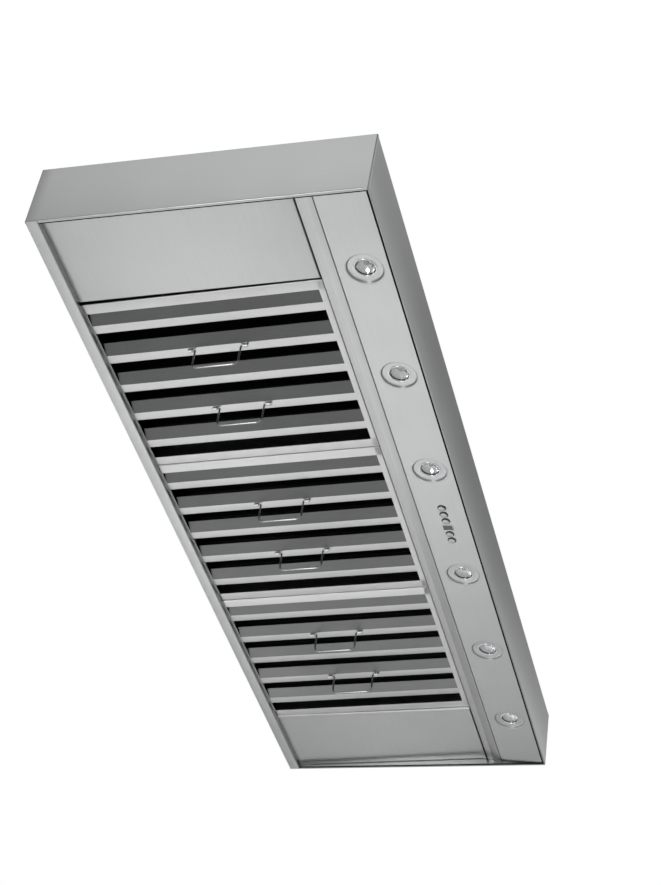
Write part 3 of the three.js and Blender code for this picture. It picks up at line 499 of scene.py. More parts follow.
def at(x=0.0, y=0.0, z=0.0, tilt=0.0):
    """A matrix that tilts about X and then moves to a place."""
    c, s = math.cos(tilt), math.sin(tilt)
    return np.array([[1, 0, 0, x], [0, c, -s, y], [0, s, c, z], [0, 0, 0, 1.0]])


def shifted(shape, x=0.0, y=0.0, z=0.0):
    return shape[0] + np.array([x, y, z]), shape[1]


# Objects ---------------------------------------------------------------------------------------


def piece(name, shape, materials, body, nodes, smooth=SMOOTH_BELOW):
    """Makes an object from a shape, or from several shapes with one material each, and ties it to
    its body and the CAD nodes that it stands for."""
    shapes = shape if isinstance(shape, list) else [shape]
    materials = materials if isinstance(materials, list) else [materials]
    points, faces = joined(*shapes)
    used = np.unique(np.concatenate([part.ravel() for part in faces]))
    renumber = np.zeros(len(points), int)
    renumber[used] = np.arange(len(used))
    mesh = bpy.data.meshes.new(name)
    mesh.from_pydata((points[used] * MM).tolist(), [], [
        row for part in faces for row in renumber[part].tolist()])
    counts = [sum(len(part) for part in one[1]) for one in shapes]
    mesh.polygons.foreach_set("material_index", np.repeat(np.arange(len(shapes)), counts))
    mesh.polygons.foreach_set("use_smooth", np.ones(len(mesh.polygons), bool))
    mesh.set_sharp_from_angle(angle=smooth)
    for label in materials:
        mesh.materials.append(finish(label))
    mesh.update()
    made = bpy.data.objects.new(name, mesh)
    bpy.context.scene.collection.objects.link(made)
    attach(made, body)
    if nodes:
        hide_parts(*nodes)
    return made


def dress(node, label):
    """Gives a CAD node its finish."""
    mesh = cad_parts[node].data
    mesh.materials.clear()
    mesh.materials.append(finish(label))


# Canopy ----------------------------------------------------------------------------------------

GUTTER_DEPTH, GUTTER_UPTURN = 25, 11
BEND_RADIUS = 3
HEM_TURN = 1.65
HEM_HEIGHT = 8
OPENING_LIP = 8
END_FLANGE = 5.5
CORNER_LEG = 5.6
RETURN_RADIUS = 2


def canopy_wrap():
    """Front wall, top, rear wall and gutter: one folded path in (y, z) carried along X. The front
    edge is a hem, which turns back on itself through a half circle. The top is open over the
    blower box, and the walls stop where the end walls' corners begin."""
    path = [
        (REAR_Y - GUTTER_DEPTH, RIM_Z + GUTTER_UPTURN), (REAR_Y - GUTTER_DEPTH, RIM_Z),
        (REAR_Y, RIM_Z), (REAR_Y, TOP_Z), (FRONT_Y, TOP_Z), (FRONT_Y, RIM_Z),
        (FRONT_Y + 2 * HEM_TURN, RIM_Z), (FRONT_Y + 2 * HEM_TURN, RIM_Z + HEM_HEIGHT)]
    outer = rounded(path, [BEND_RADIUS] * 4 + [HEM_TURN - 0.02] * 2)
    low, high = node_box("blower_box")
    flat = np.nonzero(np.diff(outer[:, 0]) < FRONT_Y)[0][0]
    opening = [(high[1] - OPENING_LIP, TOP_Z), (low[1] + OPENING_LIP, TOP_Z)]
    outer = np.insert(outer, flat + 1, opening, axis=0)
    inner = beside(outer, SHEET)
    near, far = END_X - CORNER_LEG, END_X - SHEET - 0.1
    cuts = [-far, -near, low[0] + OPENING_LIP, high[0] - OPENING_LIP, near, far]
    keep = np.ones((len(outer) - 1, len(cuts) - 1), bool)
    keep[flat + 1, 2] = False
    middle = (outer[1:] + outer[:-1]) / 2
    walls = (middle[:, 0] < FRONT_Y + HEM_TURN) | (middle[:, 0] > REAR_Y - SHEET)
    keep[walls, 0] = keep[walls, -1] = False
    return walled(carried(outer, cuts, "X"), carried(inner, cuts, "X"), keep)


def end_wall(side):
    """One end wall with its corners and its narrow bottom return. A plan path in (x, y) turns both
    corners, and at each of its points an upright profile of (distance in, z) is set square to it."""
    x, leg = side * END_X, side * (END_X - CORNER_LEG)
    y0, y1 = FRONT_Y + 2 * HEM_TURN + 0.3, REAR_Y - GUTTER_DEPTH - 0.3
    plan = rounded([(leg, REAR_Y), (x, REAR_Y), (x, FRONT_Y), (leg, FRONT_Y)], BEND_RADIUS)
    straight = np.nonzero(np.abs(np.diff(plan[:, 1])) > CORNER_LEG * 2)[0][0]
    plan = np.insert(plan, straight + 1, [(x, y1), (x, y0)], axis=0)
    step = (beside(plan, 1.0) - plan) * -side
    profile = rounded([(END_FLANGE, RIM_Z), (0, RIM_Z), (0, TOP_Z)], RETURN_RADIUS)
    behind = beside(profile, -SHEET)

    def surface(line):
        grid = np.zeros((len(plan), len(line), 3))
        grid[:, :, :2] = plan[:, None] + step[:, None] * line[None, :, :1]
        grid[:, :, 2] = line[:, 1]
        return grid

    keep = np.ones((len(plan) - 1, len(profile) - 1), bool)
    keep[:, 0] = False
    keep[straight + 1, 0] = True
    return walled(surface(profile), surface(behind), keep)


# Light panel, lamps and controls ----------------------------------------------------------------

PANEL_LOW, PANEL_HIGH = node_box("light_panel")
PANEL_DEPTH, PANEL_RISE, PANEL_FLANGE = 99, 6, 12
PANEL_SLOPE = math.atan2(PANEL_RISE, PANEL_DEPTH)
PANEL_LENGTH = math.hypot(PANEL_RISE, PANEL_DEPTH)
PANEL_PLACE = at(y=FRONT_Y + 5.5, z=RIM_Z + 2, tilt=PANEL_SLOPE)
CONTROL_LINE, CONTROL_PITCH = 47, 21
LAMP_HOLE, LAMP_LENS, LAMP_DISH, LAMP_CAN = 37.5, 21, 4, 36
# Half of the square of cells that a hole takes out of the panel's face
LAMP_STEP, CONTROL_HALF_X, CONTROL_HALF_Y = 42.5, 10.4, 13
PANEL_BEND = 1.8
# Width of the black cords that paint the shade of the gaps along the panel's edges
CORD = 3.4
BUTTON_RADIUS, BUTTON_PROUD = 7.5, 3.5
DISPLAY_SIZE, DISPLAY_X = (18, 22), 10.5


def middle_x(name):
    """Where the middle of a CAD node lies along the hood."""
    low, high = node_box(name)
    return ((low + high) / 2)[0]


LAMPS = [middle_x(f"lamp_lens_{i}") for i in range(1, 7)]
BUTTONS = [middle_x(f"button_{i}") for i in range(1, 6)]


def round_hole(x, y, radius):
    """Sends each point to the circle round (x, y), straight towards its centre."""

    def outline(points):
        way = points - (x, y)
        return (x, y) + radius * way / np.linalg.norm(way, axis=1)[:, None]

    return outline


def square_hole(x, y, half_x, half_y):
    """Sends each point to the rectangle round (x, y), straight towards its centre."""

    def outline(points):
        way = points - (x, y)
        return (x, y) + way / np.max(np.abs(way) / (half_x, half_y), axis=1)[:, None]

    return outline


def light_panel():
    """The panel's face with its lamp and control holes, its two flanges and its two bends."""
    end = -PANEL_LOW[0]
    half, band, reach = LAMP_STEP, CONTROL_HALF_X, CONTROL_HALF_Y
    line = CONTROL_LINE
    ys = np.unique(np.round(np.concatenate([
        [BEND_RADIUS, PANEL_LENGTH - BEND_RADIUS], np.linspace(line - half, line + half, 17),
        np.linspace(line - reach, line + reach, 9)]), 4))
    controls = sorted(BUTTONS + [DISPLAY_X])
    stations = [[-end, end]] + [np.linspace(x - half, x + half, 17) for x in LAMPS]
    stations += [np.linspace(x - band, x + band, 9) for x in controls]
    xs = np.unique(np.round(np.concatenate(stations), 4))
    column = lambda x: int(np.argmin(np.abs(xs - x)))
    row = lambda y: int(np.argmin(np.abs(ys - y)))
    holes = [
        ((column(x - half), column(x + half)), (row(line - half), row(line + half)),
         round_hole(x, line, LAMP_HOLE)) for x in LAMPS]
    for x in controls:
        outline = (
            square_hole(x, line, DISPLAY_SIZE[0] / 2 + 0.3, DISPLAY_SIZE[1] / 2 + 0.3)
            if x == DISPLAY_X else round_hole(x, line, BUTTON_RADIUS + 0.3))
        across, up = (column(x - band), column(x + band)), (row(line - reach), row(line + reach))
        holes.append((across, up, outline))
    face = pierced_plate(xs, ys, holes, 0, SHEET)
    ends = [-end, end]
    front = rounded([(0, PANEL_FLANGE), (0, 0), (BEND_RADIUS, 0)], PANEL_BEND)
    rear = rounded(
        [(PANEL_LENGTH - BEND_RADIUS, 0), (PANEL_LENGTH, 0), (PANEL_LENGTH, PANEL_FLANGE)],
        PANEL_BEND)
    flanges = [
        walled(carried(fold, ends, "X"), carried(beside(fold, SHEET), ends, "X"))
        for fold in (front, rear)]
    return placed(joined(face, *flanges), PANEL_PLACE)


def cord(low, high, z, stations, axis):
    """A black cord along an axis between two places across it, painted shade of a narrow gap: a half
    circle flattened to 0.6 mm below a square back."""
    arch = np.linspace(0, math.pi, 7)
    middle, reach = (low + high) / 2, (high - low) / 2
    section = [(middle - reach * math.cos(a), z + 0.6 - 0.6 * math.sin(a)) for a in arch]
    section = np.array(section + [(high, z + 1.3), (low, z + 1.3)])
    points = carried(section, stations, axis).transpose(1, 0, 2).reshape(-1, 3)
    a, count = np.arange(len(section)), len(section)
    b = np.roll(a, -1)
    return outward(points, [np.stack([a, b, b + count, a + count], 1), np.stack([a[::-1], a + count])])


def shadow_gap_cords():
    """Black cords behind the front hem and along the end walls' returns, painted shade of the gaps there."""
    end, first = END_X - END_FLANGE, FRONT_Y + 2 * HEM_TURN + 0.05
    rear = REAR_Y - GUTTER_DEPTH - 1
    return joined(
        cord(first, first + CORD, RIM_Z + 0.5, [-end, end], "X"),
        cord(-end + 0.1, -end + CORD, RIM_Z + 0.5, [first + CORD + 0.1, rear], "Y"),
        cord(end - CORD, end - 0.1, RIM_Z + 0.5, [first + CORD + 0.1, rear], "Y"))


def on_panel(shape, x):
    """A shape made round Z, set on the panel's line of controls at x."""
    return placed(shape, PANEL_PLACE @ at(x=x, y=CONTROL_LINE))


def lamp_trim():
    """The dished ring: a flat lip, a quarter ellipse down and another one out to the flat floor, which
    lies LAMP_DISH behind the lip, and the can."""
    rim, can = LAMP_HOLE - 0.15, LAMP_LENS + 0.3
    step = np.linspace(0, math.pi / 2, 9)
    shoulder = [(rim - 1 - 2.4 * math.sin(a), 1.9 - 1.9 * math.cos(a)) for a in step]
    foot = [(rim - 6.2 + 2.8 * math.cos(a), 1.9 + (LAMP_DISH - 1.9) * math.sin(a)) for a in step[1:]]
    behind = SHEET + 0.3
    profile = [(rim, behind), (rim, 0.1), (rim - 0.1, 0), *shoulder, *foot, (can, LAMP_DISH),
               (can, LAMP_CAN), (0, LAMP_CAN), (0, LAMP_CAN + SHEET), (can + SHEET, LAMP_CAN + SHEET),
               (can + SHEET, LAMP_DISH + SHEET), (rim - 2, LAMP_DISH + SHEET),
               (rim + 6, behind + SHEET), (rim + 6, behind)]
    return turned(profile, 96)


def lamp_holder():
    """The black cone between the bezel and the cup, from the lens edge inwards and back."""
    edge = LAMP_LENS - 1.9
    return turned([(edge, LAMP_DISH + 0.9), (edge - 0.9, LAMP_DISH + 3.4), (edge - 0.9, LAMP_DISH + 4.2),
                   (edge + 0.6, LAMP_DISH + 4.2), (edge + 0.6, LAMP_DISH + 0.9)], 64)


def lamp_bezel():
    """A bright rolled ring round the lens: a half circle section on a flat foot."""
    step = np.linspace(math.pi, 0, 9)
    crown = [(LAMP_LENS - 0.6 + 1.5 * math.cos(a), LAMP_DISH - 1.3 * math.sin(a)) for a in step]
    return turned([*crown, (LAMP_LENS + 0.2, LAMP_DISH + 1.6), (LAMP_LENS - 2.1, LAMP_DISH + 1.6)], 64)


def lamp_reflector():
    """A faceted cup: depth falls with the square of the radius, in three bands of twelve facets,
    each band turned half a facet on the one before it."""
    sides, bands = 12, 3
    radius = np.linspace(LAMP_LENS - 2.9, 5.5, bands + 1)
    depth = LAMP_DISH + 4.4 + 9 * (1 - (radius / radius[0]) ** 2)
    turn = 2 * math.pi * (np.arange(sides)[None] + 0.5 * (np.arange(bands + 1) % 2)[:, None]) / sides

    def cup(extra):
        r = radius[:, None] + extra
        return np.stack([r * np.cos(turn), r * np.sin(turn), np.broadcast_to(
            depth[:, None] + extra, turn.shape)], 2)

    front, back = (np.concatenate([grid, grid[:, :1]], 1).reshape(-1, 3) for grid in (cup(0), cup(0.6)))
    index = np.arange((bands + 1) * (sides + 1)).reshape(bands + 1, sides + 1)
    index[:, -1] = index[:, 0]
    triangles = []
    for band in range(bands):
        a, a1 = index[band, :-1], index[band, 1:]
        b, b1 = index[band + 1, :-1], index[band + 1, 1:]
        if band % 2 == 0:
            triangles += [np.stack([a, a1, b], 1), np.stack([a1, b1, b], 1)]
        else:
            triangles += [np.stack([a, b1, b], 1), np.stack([a, a1, b1], 1)]
    face = np.vstack(triangles)
    count = len(front)
    walls = []
    for ring, flip in ((index[0], False), (index[-1], True)):
        quad = np.stack([ring[1:], ring[:-1], ring[:-1] + count, ring[1:] + count], 1)
        walls.append(quad[:, ::-1] if flip else quad)
    return outward(np.vstack([front, back]), [np.vstack([face, face[:, ::-1] + count]), np.vstack(walls)])


def lamp_lens():
    """A shallow dome of glass, 2 mm thick: height falls as the square of the radius."""
    radius = np.linspace(0, LAMP_LENS - 1.7, 12)
    front = LAMP_DISH - 0.5 + 1.6 * (radius / radius[-1]) ** 2
    back = front + 2.0
    profile = [*zip(radius, front), *zip(radius[::-1], back[::-1])]
    return turned(profile, 48, closed=False)


def lamp_diode():
    """A round light-emitting chip with a yellowish domed window on the cup's floor."""
    dome = np.linspace(0, math.pi / 2, 6)
    top = LAMP_DISH + 13.6
    profile = [(4.6 * math.sin(a), top - 2.6 * math.cos(a)) for a in dome]
    return turned([*profile, (6, top), (6, top + 2), (0, top + 2)], 24, closed=False)


def button_cap():
    """A push button: a crowned face that falls off as the fourth power of the radius, a rounded
    edge, the barrel and the shoulder that keeps it behind the panel."""
    share = np.linspace(0, 1, 10)
    crown = [(BUTTON_RADIUS * 0.9 * t, -BUTTON_PROUD + 0.5 * t ** 4) for t in share]
    edge = [
        (BUTTON_RADIUS * 0.9 + BUTTON_RADIUS * 0.1 * math.sin(a),
         -BUTTON_PROUD + 0.5 + 0.8 * (1 - math.cos(a)))
        for a in np.linspace(0.3, math.pi / 2, 5)]
    shoulder, stem = SHEET + 0.3, 6
    profile = [*crown, *edge, (BUTTON_RADIUS, shoulder), (BUTTON_RADIUS + 1.5, shoulder),
               (BUTTON_RADIUS + 1.5, shoulder + 1.5), (BUTTON_RADIUS - 3, shoulder + 1.5),
               (BUTTON_RADIUS - 3, stem), (0, stem)]
    return turned(profile, 48, closed=False)


def button_collar():
    """The black ring round a push button: a half-round lip that stands 0.7 mm below the panel."""
    inner, outer = BUTTON_RADIUS + 0.12, BUTTON_RADIUS + 1.7
    arch = np.linspace(math.pi, 0, 7)
    middle, reach = (inner + outer) / 2, (outer - inner) / 2
    lip = [(middle + reach * math.cos(a), -0.02 - 0.68 * math.sin(a)) for a in arch]
    return turned([*lip, (outer, -0.01), (inner + 0.16, -0.01), (inner + 0.16, 1.2), (inner, 1.2)], 48)


def display():
    """The display's bright frame, its dark window a little below the frame's lip, and its bar."""
    x, y = DISPLAY_SIZE[0] / 2, DISPLAY_SIZE[1] / 2
    back = SHEET + 0.3
    lip = 1.6
    bars = [
        slab((-x, -y, -1), (-x + lip, y, back), 0.4), slab((x - lip, -y, -1), (x, y, back), 0.4),
        slab((-x + lip, -y, -1), (x - lip, -y + lip, back), 0.4),
        slab((-x + lip, y - lip, -1), (x - lip, y, back), 0.4)]
    window = slab((-x + lip, -y + lip, -0.4), (x - lip, y - lip, back + 1), 0.2)
    rim = slab((-x - 1, -y - 1.5, back), (x + 1, y + 1.5, back + 2), 0.3)
    return joined(*bars), joined(window, rim)


# Rail, fillers and filters ----------------------------------------------------------------------

SEAM = 0.5
PIVOT_Y = REAR_Y - GUTTER_DEPTH - SEAM
PIVOT_Z = RIM_Z + GUTTER_UPTURN + SEAM
RAIL_LOW, RAIL_HIGH = node_box("filter_rail")
FILTER_HEIGHT = 46
FILTER_RUN = math.sqrt((PIVOT_Y - RAIL_HIGH[1] - 1) ** 2 - FILTER_HEIGHT ** 2)
FILTER_FRONT_HEIGHT, FILLER_FRONT_HEIGHT = 26, 21
FILTER_FRONT_RISE = FILTER_FRONT_HEIGHT - GUTTER_UPTURN - SEAM
FILTER_SLOPE = math.asin(FILTER_FRONT_RISE / FILTER_RUN)
FILTER_END = node_box("left_filler_panel")[1][1] - PIVOT_Y
FILLER_RISE = FILLER_FRONT_HEIGHT - GUTTER_UPTURN - SEAM
STRIP, SLOT, END_SLOT, WEB = 21, 61, 32, 30
FRONT_FLANGE, REAR_FLANGE, TOP_FLANGE = 12, 20, 12
FOLD = 1.6
CREASE = 0.8
WING_REACH, WING_RISE = 27, 8
UPPER_LEG, UPPER_GAP, TIE_BAR = 28, 9, 16
WIRE, SPAN, DROP, STUB = 1.97, 91, 46, 15
LUG_OFFSET, LUG_LENGTH, LUG_WIDTH, LUG_WALL = 6, 7, 8, 1.6
PIVOT_DROP = 3.2
HANDLE_STRIPS = (1, 3)
HANDLE_FROM_FRONT = 240


def rail():
    """The rail's folded path in (y, z) carried along X."""
    y0, z0 = RAIL_LOW[1], RAIL_LOW[2]
    path = [(y0, z0 + PANEL_FLANGE), (y0, z0), (y0 + 21, z0 + 8.5), (RAIL_HIGH[1], z0 + 10),
            (RAIL_HIGH[1], RAIL_HIGH[2])]
    return bent_sheet(path, [1.8, 8, 1.8], SHEET, [RAIL_LOW[0], RAIL_HIGH[0]], "X")


def filler(side):
    """A shallow tray: its face and front and rear flanges are one fold, and its sides another."""
    low, high = node_box("left_filler_panel" if side < 0 else "right_filler_panel")
    middle, half = (low[0] + high[0]) / 2, (high[0] - low[0]) / 2
    run = FILTER_RUN * math.cos(FILTER_SLOPE)
    front = -math.hypot(run, FILLER_RISE)
    height = 12
    tray = bent_sheet(
        [(front, height), (front, 0), (FILTER_END, 0), (FILTER_END, height)], 2.5, SHEET,
        [-half + 2.5, half - 2.5], "X")
    sides = []
    for edge in (-1, 1):
        path = [(edge * (half - 2.52), 0), (edge * half, 0), (edge * half, height)]
        sides.append(bent_sheet(path, 2.4, edge * SHEET, [front, FILTER_END], "Y"))
    tilt = at(x=middle, y=PIVOT_Y, z=PIVOT_Z, tilt=-math.atan2(FILLER_RISE, run))
    return placed(joined(tray, *sides), tilt)


def strip_starts():
    """The left edges of the five strips, from the filter's middle."""
    first = -2 * (STRIP + SLOT) - STRIP / 2
    return [first + i * (STRIP + SLOT) for i in range(5)]


def slots():
    """The left and right edge of each slot, with the narrow ones at both ends."""
    starts = strip_starts()
    edges = [(starts[0] - END_SLOT, starts[0])]
    edges += [(a + STRIP, b) for a, b in zip(starts, starts[1:])]
    return edges + [(starts[-1] + STRIP, starts[-1] + STRIP + END_SLOT)]


def filter_frame(width):
    """Front and rear flanges carried along X, side channels and baffle strips carried along the
    slope, each one folded sheet, and the lugs of the two handles."""
    half, gauge = width / 2, THIN_SHEET
    front, rear, top = -FILTER_RUN, FILTER_END, FILTER_HEIGHT
    parts = [
        bent_sheet([(front + TOP_FLANGE, top), (front, top), (front, 0), (front + FRONT_FLANGE, 0)],
                   FOLD, gauge, [-half, half], "X"),
        bent_sheet([(rear - REAR_FLANGE, 0), (rear, 0), (rear, top), (rear - TOP_FLANGE, top)],
                   FOLD, gauge, [-half, half], "X")]
    inside = [front + FRONT_FLANGE, rear - REAR_FLANGE]
    webs = [front + gauge + 0.1, rear - gauge - 0.1]
    edge = slots()[0][0]
    for side in (-1, 1):
        path = [(side * abs(edge), 0), (side * half, 0), (side * half, 2 * FOLD)]
        parts.append(bent_sheet(path, FOLD, side * gauge, webs, "Y"))
    for start in strip_starts():
        edge = start + STRIP
        parts.append(bent_sheet(
            [(start, 0), (edge, 0), (edge, WEB)], CREASE, gauge, inside, "Y"))
        for y0, y1 in ((webs[0], inside[0]), (inside[1], webs[1])):
            parts.append(slab((edge - gauge, y0, gauge + 0.05), (edge, y1, WEB), 0.05))
    for x, y in handle_places():
        for y0 in (y - SPAN / 2 - LUG_OFFSET - LUG_LENGTH, y + SPAN / 2 + LUG_OFFSET):
            parts.append(lug(x, y0, y0 + LUG_LENGTH))
    return joined(*parts)


def wings(width):
    """The shallow sloping side of each strip, which rises over the slot on its left, the two
    upright edges of the outermost slots, and the frame's side walls with their top lips."""
    inside = [-FILTER_RUN + FRONT_FLANGE, FILTER_END - REAR_FLANGE]
    parts = [
        bent_sheet([(start - WING_REACH, WING_RISE), (start - 0.02, 0)], 1, THIN_SHEET, inside, "Y")
        for start in strip_starts()]
    edge, half, top = abs(slots()[0][0]), width / 2, FILTER_HEIGHT
    for side in (-1, 1):
        low, high = sorted((side * edge, side * (edge + THIN_SHEET)))
        parts.append(slab((low, inside[0], THIN_SHEET + 0.05), (high, inside[1], WEB), 0.05))
        path = [(side * half, 2 * FOLD + 0.02), (side * half, top), (side * (half - TOP_FLANGE), top)]
        parts.append(bent_sheet(path, FOLD, side * THIN_SHEET, [inside[0] - 10, inside[1] + 18], "Y"))
    return joined(*parts)


def handle_places():
    """Where each handle's middle hangs, as (x, y) on the filter."""
    return [(strip_starts()[i] + LUG_WIDTH / 2 + 1, HANDLE_FROM_FRONT - FILTER_RUN)
            for i in HANDLE_STRIPS]


def lug(x, y0, y1):
    """A saddle under a strip: a round eye of (x, z) points with a squared top, carried along Y."""
    sides = 32
    turn = np.linspace(0, 2 * math.pi, sides, endpoint=False)
    way = np.stack([np.cos(turn), np.sin(turn)], 1)
    outer_radius = WIRE + 0.5 + LUG_WALL
    outer = way * outer_radius
    up = way[:, 1] > 0
    outer[up] = way[up] * np.minimum(
        outer_radius / np.maximum(np.abs(way[up, :1]), 1e-9), PIVOT_DROP / np.maximum(way[up, 1:], 1e-9))
    outer[:, 0] = np.clip(outer[:, 0], -outer_radius + 0.1, outer_radius - 0.1)
    inner = way * (WIRE + 0.5)
    points = []
    for y in (y0, y1):
        for loop in (outer, inner):
            points.append(np.column_stack([x + loop[:, 0], np.full(sides, y), loop[:, 1] - PIVOT_DROP]))
    o0, i0, o1, i1 = np.arange(4 * sides).reshape(4, sides)
    roll = lambda a: np.roll(a, -1)
    quads = np.vstack([
        np.stack([o0, roll(o0), roll(i0), i0], 1), np.stack([i1, roll(i1), roll(o1), o1], 1),
        np.stack([o1, roll(o1), roll(o0), o0], 1), np.stack([i0, roll(i0), roll(i1), i1], 1)])
    return outward(np.vstack(points), [quads])


def upper_baffles(width):
    """Channels that hang open side down over the slots, tied by two flat bars."""
    gauge = THIN_SHEET
    top = FILTER_HEIGHT - 2 * gauge - 0.3
    wall = width / 2 - gauge - 0.5
    y0, y1 = -FILTER_RUN + gauge + 0.5, FILTER_END - gauge - 0.5
    reach = (STRIP - UPPER_GAP) / 2
    parts = []
    for left, right in slots():
        a, b = max(left - reach, -wall), min(right + reach, wall)
        path = [(b, top - UPPER_LEG), (b, top), (a, top), (a, top - UPPER_LEG)]
        parts.append(bent_sheet(path, FOLD, gauge, [y0, y1], "Y"))
    for y in (y0 + TIE_BAR, y1 - 2 * TIE_BAR):
        parts.append(slab((-wall, y, top + 0.02), (wall, y + TIE_BAR, top + gauge), 0.3))
    return joined(*parts)


def bail():
    """A wire handle in (y, z): two stubs, two legs and a grip joined by arcs."""
    half = SPAN / 2
    path = rounded(
        [(-half - STUB, 0), (-half, 0), (-half, -DROP), (half, -DROP), (half, 0), (half + STUB, 0)],
        [3, 11, 11, 3], steps=10)
    return tube(np.column_stack([np.zeros(len(path)), path]), WIRE, 16)


# Blowers, ducts, frames and covers --------------------------------------------------------------

WHEEL_HALF, WHEEL_BAND = 46.0, 12
BLADE_COUNT, BLADE_SHEET = 36, 0.8


def duct_collar(node):
    """A round duct spigot with its foot flange, a swaged bead and a rolled top edge."""
    low, high = node_box(node)
    foot = (high[0] - low[0]) / 2
    height = high[2] - low[2]
    outer = foot - 5
    bore = outer - SHEET
    bead = [
        (outer + 0.1 + 2.4 * math.cos(a), height - 22 + 3.5 * math.sin(a))
        for a in np.linspace(-math.pi / 2, math.pi / 2, 9)]
    profile = [(bore, 0), (foot, 0), (foot, SHEET), (outer + 1, SHEET), (outer, SHEET + 1), *bead,
               (outer, height - 0.6), (outer - 0.5, height), (bore + 0.3, height), (bore, height - 0.5)]
    middle = (low + high) / 2
    return shifted(turned(profile, 96), middle[0], middle[1], low[2])


def impeller(node):
    """A forward-curved wheel: thirty-six blades whose angle grows along the radius, two rims, a
    centre disc with its hub, and the shaft."""
    low, high = node_box(node)
    radius = (high[0] - low[0]) / 2
    half = WHEEL_HALF
    inner = radius - WHEEL_BAND
    share = np.linspace(0, 1, 7)
    path = np.stack([inner + 0.6 + (radius - inner - 1.2) * share, 9 * (share ** 1.7 - 0.5)], 1)
    ends = [1 - half, half - 1]
    blade = walled(carried(path, ends, "Z"), carried(beside(path, BLADE_SHEET), ends, "Z"))
    parts = []
    for i in range(BLADE_COUNT):
        a = 2 * math.pi * i / BLADE_COUNT
        spin = np.eye(4)
        spin[:2, :2] = [[math.cos(a), -math.sin(a)], [math.sin(a), math.cos(a)]]
        parts.append(placed(blade, spin))
    for z in (-half, half - 2):
        parts.append(turned([(inner, z), (radius, z), (radius, z + 2), (inner, z + 2)], 72))
    parts.append(turned([(0, -15), (12, -15), (12, -1), (30, -1), (34, 1), (inner + 2, 1), (inner + 2, 2.2),
                         (33, 2.2), (29, 0.6), (12, 0.6), (12, 15), (0, 15)], 72, closed=False))
    parts.append(turned([(0, 15.1), (4, 15.1), (4, -low[1]), (0, -low[1])], 24, closed=False))
    whole = joined(*parts)
    middle = (low + high) / 2
    # The wheel's own axis is turned from Z to -Y.
    axis = np.array([[1, 0, 0, middle[0]], [0, 0, -1, 0], [0, 1, 0, middle[2]], [0, 0, 0, 1.0]])
    return placed(whole, axis)


def cover_half(node):
    """Half of a duct cover: a plan path in (x, y) with two rounded bends, carried along Z. The front
    half has a strip inside each seam, which the rear half is pushed over."""
    low, high = node_box(node)
    front = abs(low[1]) > abs(high[1])
    y_face, y_seam = (low[1], high[1]) if front else (high[1], low[1])
    x0, x1 = low[0], high[0]
    path = [(x0, y_seam), (x0, y_face), (x1, y_face), (x1, y_seam)]
    thick = THIN_SHEET if front else -THIN_SHEET
    shapes = [bent_sheet(path, 4, thick, [low[2], high[2]], "Z")]
    if front:
        # A joining strip behind each seam
        bottom, top = low[2] + 4, high[2] - 4
        for x in (x0 + THIN_SHEET + 0.05, x1 - 2 * THIN_SHEET - 0.05):
            shapes.append(slab((x, y_seam - 18, bottom), (x + THIN_SHEET, y_seam + 16, top), 0.3))
    return joined(*shapes)


# Stage ------------------------------------------------------------------------------------------

FLOOR_Z = -3.42
CAMERA_PLACE = (-2.9592, -1.1074, -3.0540)
CAMERA_AXES = ((0.24395, -0.96045, 0.13425), (0.65486, 0.06104, -0.75329), (0.71530, 0.27167, 0.64385))
CAMERA_LENS = 77.78
FLAG_WAY = (0.73, -0.21, 0.65)
BOX_WAY = (-0.63, 0.15, 0.76)
# Each light's name, place, aim and size in metres, and its power in watts
LIGHTS = (
    ("floor_wash", (2.55, 1.1, -1.4), (2.55, 1.1, FLOOR_Z), (1.0, 1.0), 54),
    ("low_strip", (-2.6, 0.7, -3.1), (0.0, 0.0, -0.64), (0.6, 2.4), 24),
    ("rail_card", (3.3, 4.0, -2.5), (-0.4, 0.0, -0.64), (2.6, 1.4), 12),
    ("top_box", (0.0, 0.3, 3.0), (0.0, 0.0, 0.0), (3.6, 2.2), 18),
    ("dish_card", (-1.3, 0.8, -3.35), (-1.3, 0.8, 0.0), (0.5, 1.2), 5),
)


def make_floor():
    """A wide disc whose height is level: rings of radius growing as a square, round the origin."""
    disc = turned([(0, 0), *[(60000 * (k / 12) ** 2, 0) for k in range(1, 13)]], 96, closed=False)
    mesh = bpy.data.meshes.new("stage_floor")
    mesh.from_pydata((disc[0] * MM).tolist(), [], [row for part in disc[1] for row in part.tolist()])
    mesh.transform(Matrix.Translation((0, 0, FLOOR_Z)))
    material, tree, shader, place = start_material("matt_white_paint")
    # A roller leaves a texture of about 4 mm on paint; drawn 40 mm wide so it shows.
    stipple = add_node(
        tree, "ShaderNodeTexNoise", links={"Vector": place}, Scale=cycles(40), Detail=3.0)
    paint = ramp(tree, stipple.outputs["Fac"], [(0.3, "#e6e6e6"), (0.7, "#ececec")])
    tree.links.new(paint, shader.inputs["Base Color"])
    shader.inputs["Roughness"].default_value = 0.7
    # Seen directly, the floor is lifted to the pale tone that it has under full studio light.
    pale = add_node(tree, "ShaderNodeEmission", Color=linear("#f3f3f3"), Strength=1.0)
    seen = add_node(tree, "ShaderNodeLightPath").outputs["Is Camera Ray"]
    share = add_node(tree, "ShaderNodeMath", {"operation": "MULTIPLY"}, {0: seen})
    share.inputs[1].default_value = 0.85
    mixed = add_node(
        tree, "ShaderNodeMixShader",
        links={0: share.outputs[0], 1: shader.outputs[0], 2: pale.outputs[0]})
    tree.links.new(mixed.outputs[0], tree.nodes["Material Output"].inputs["Surface"])
    mesh.materials.append(material)
    floor = bpy.data.objects.new("stage_floor", mesh)
    bpy.context.scene.collection.objects.link(floor)


def standing(axes, place):
    """The matrix of an object whose X, Y and Z run along three unit vectors, at a place."""
    matrix = Matrix.Identity(4)
    for column, axis in enumerate(axes):
        for row in range(3):
            matrix[row][column] = axis[row]
    matrix.translation = place
    return matrix


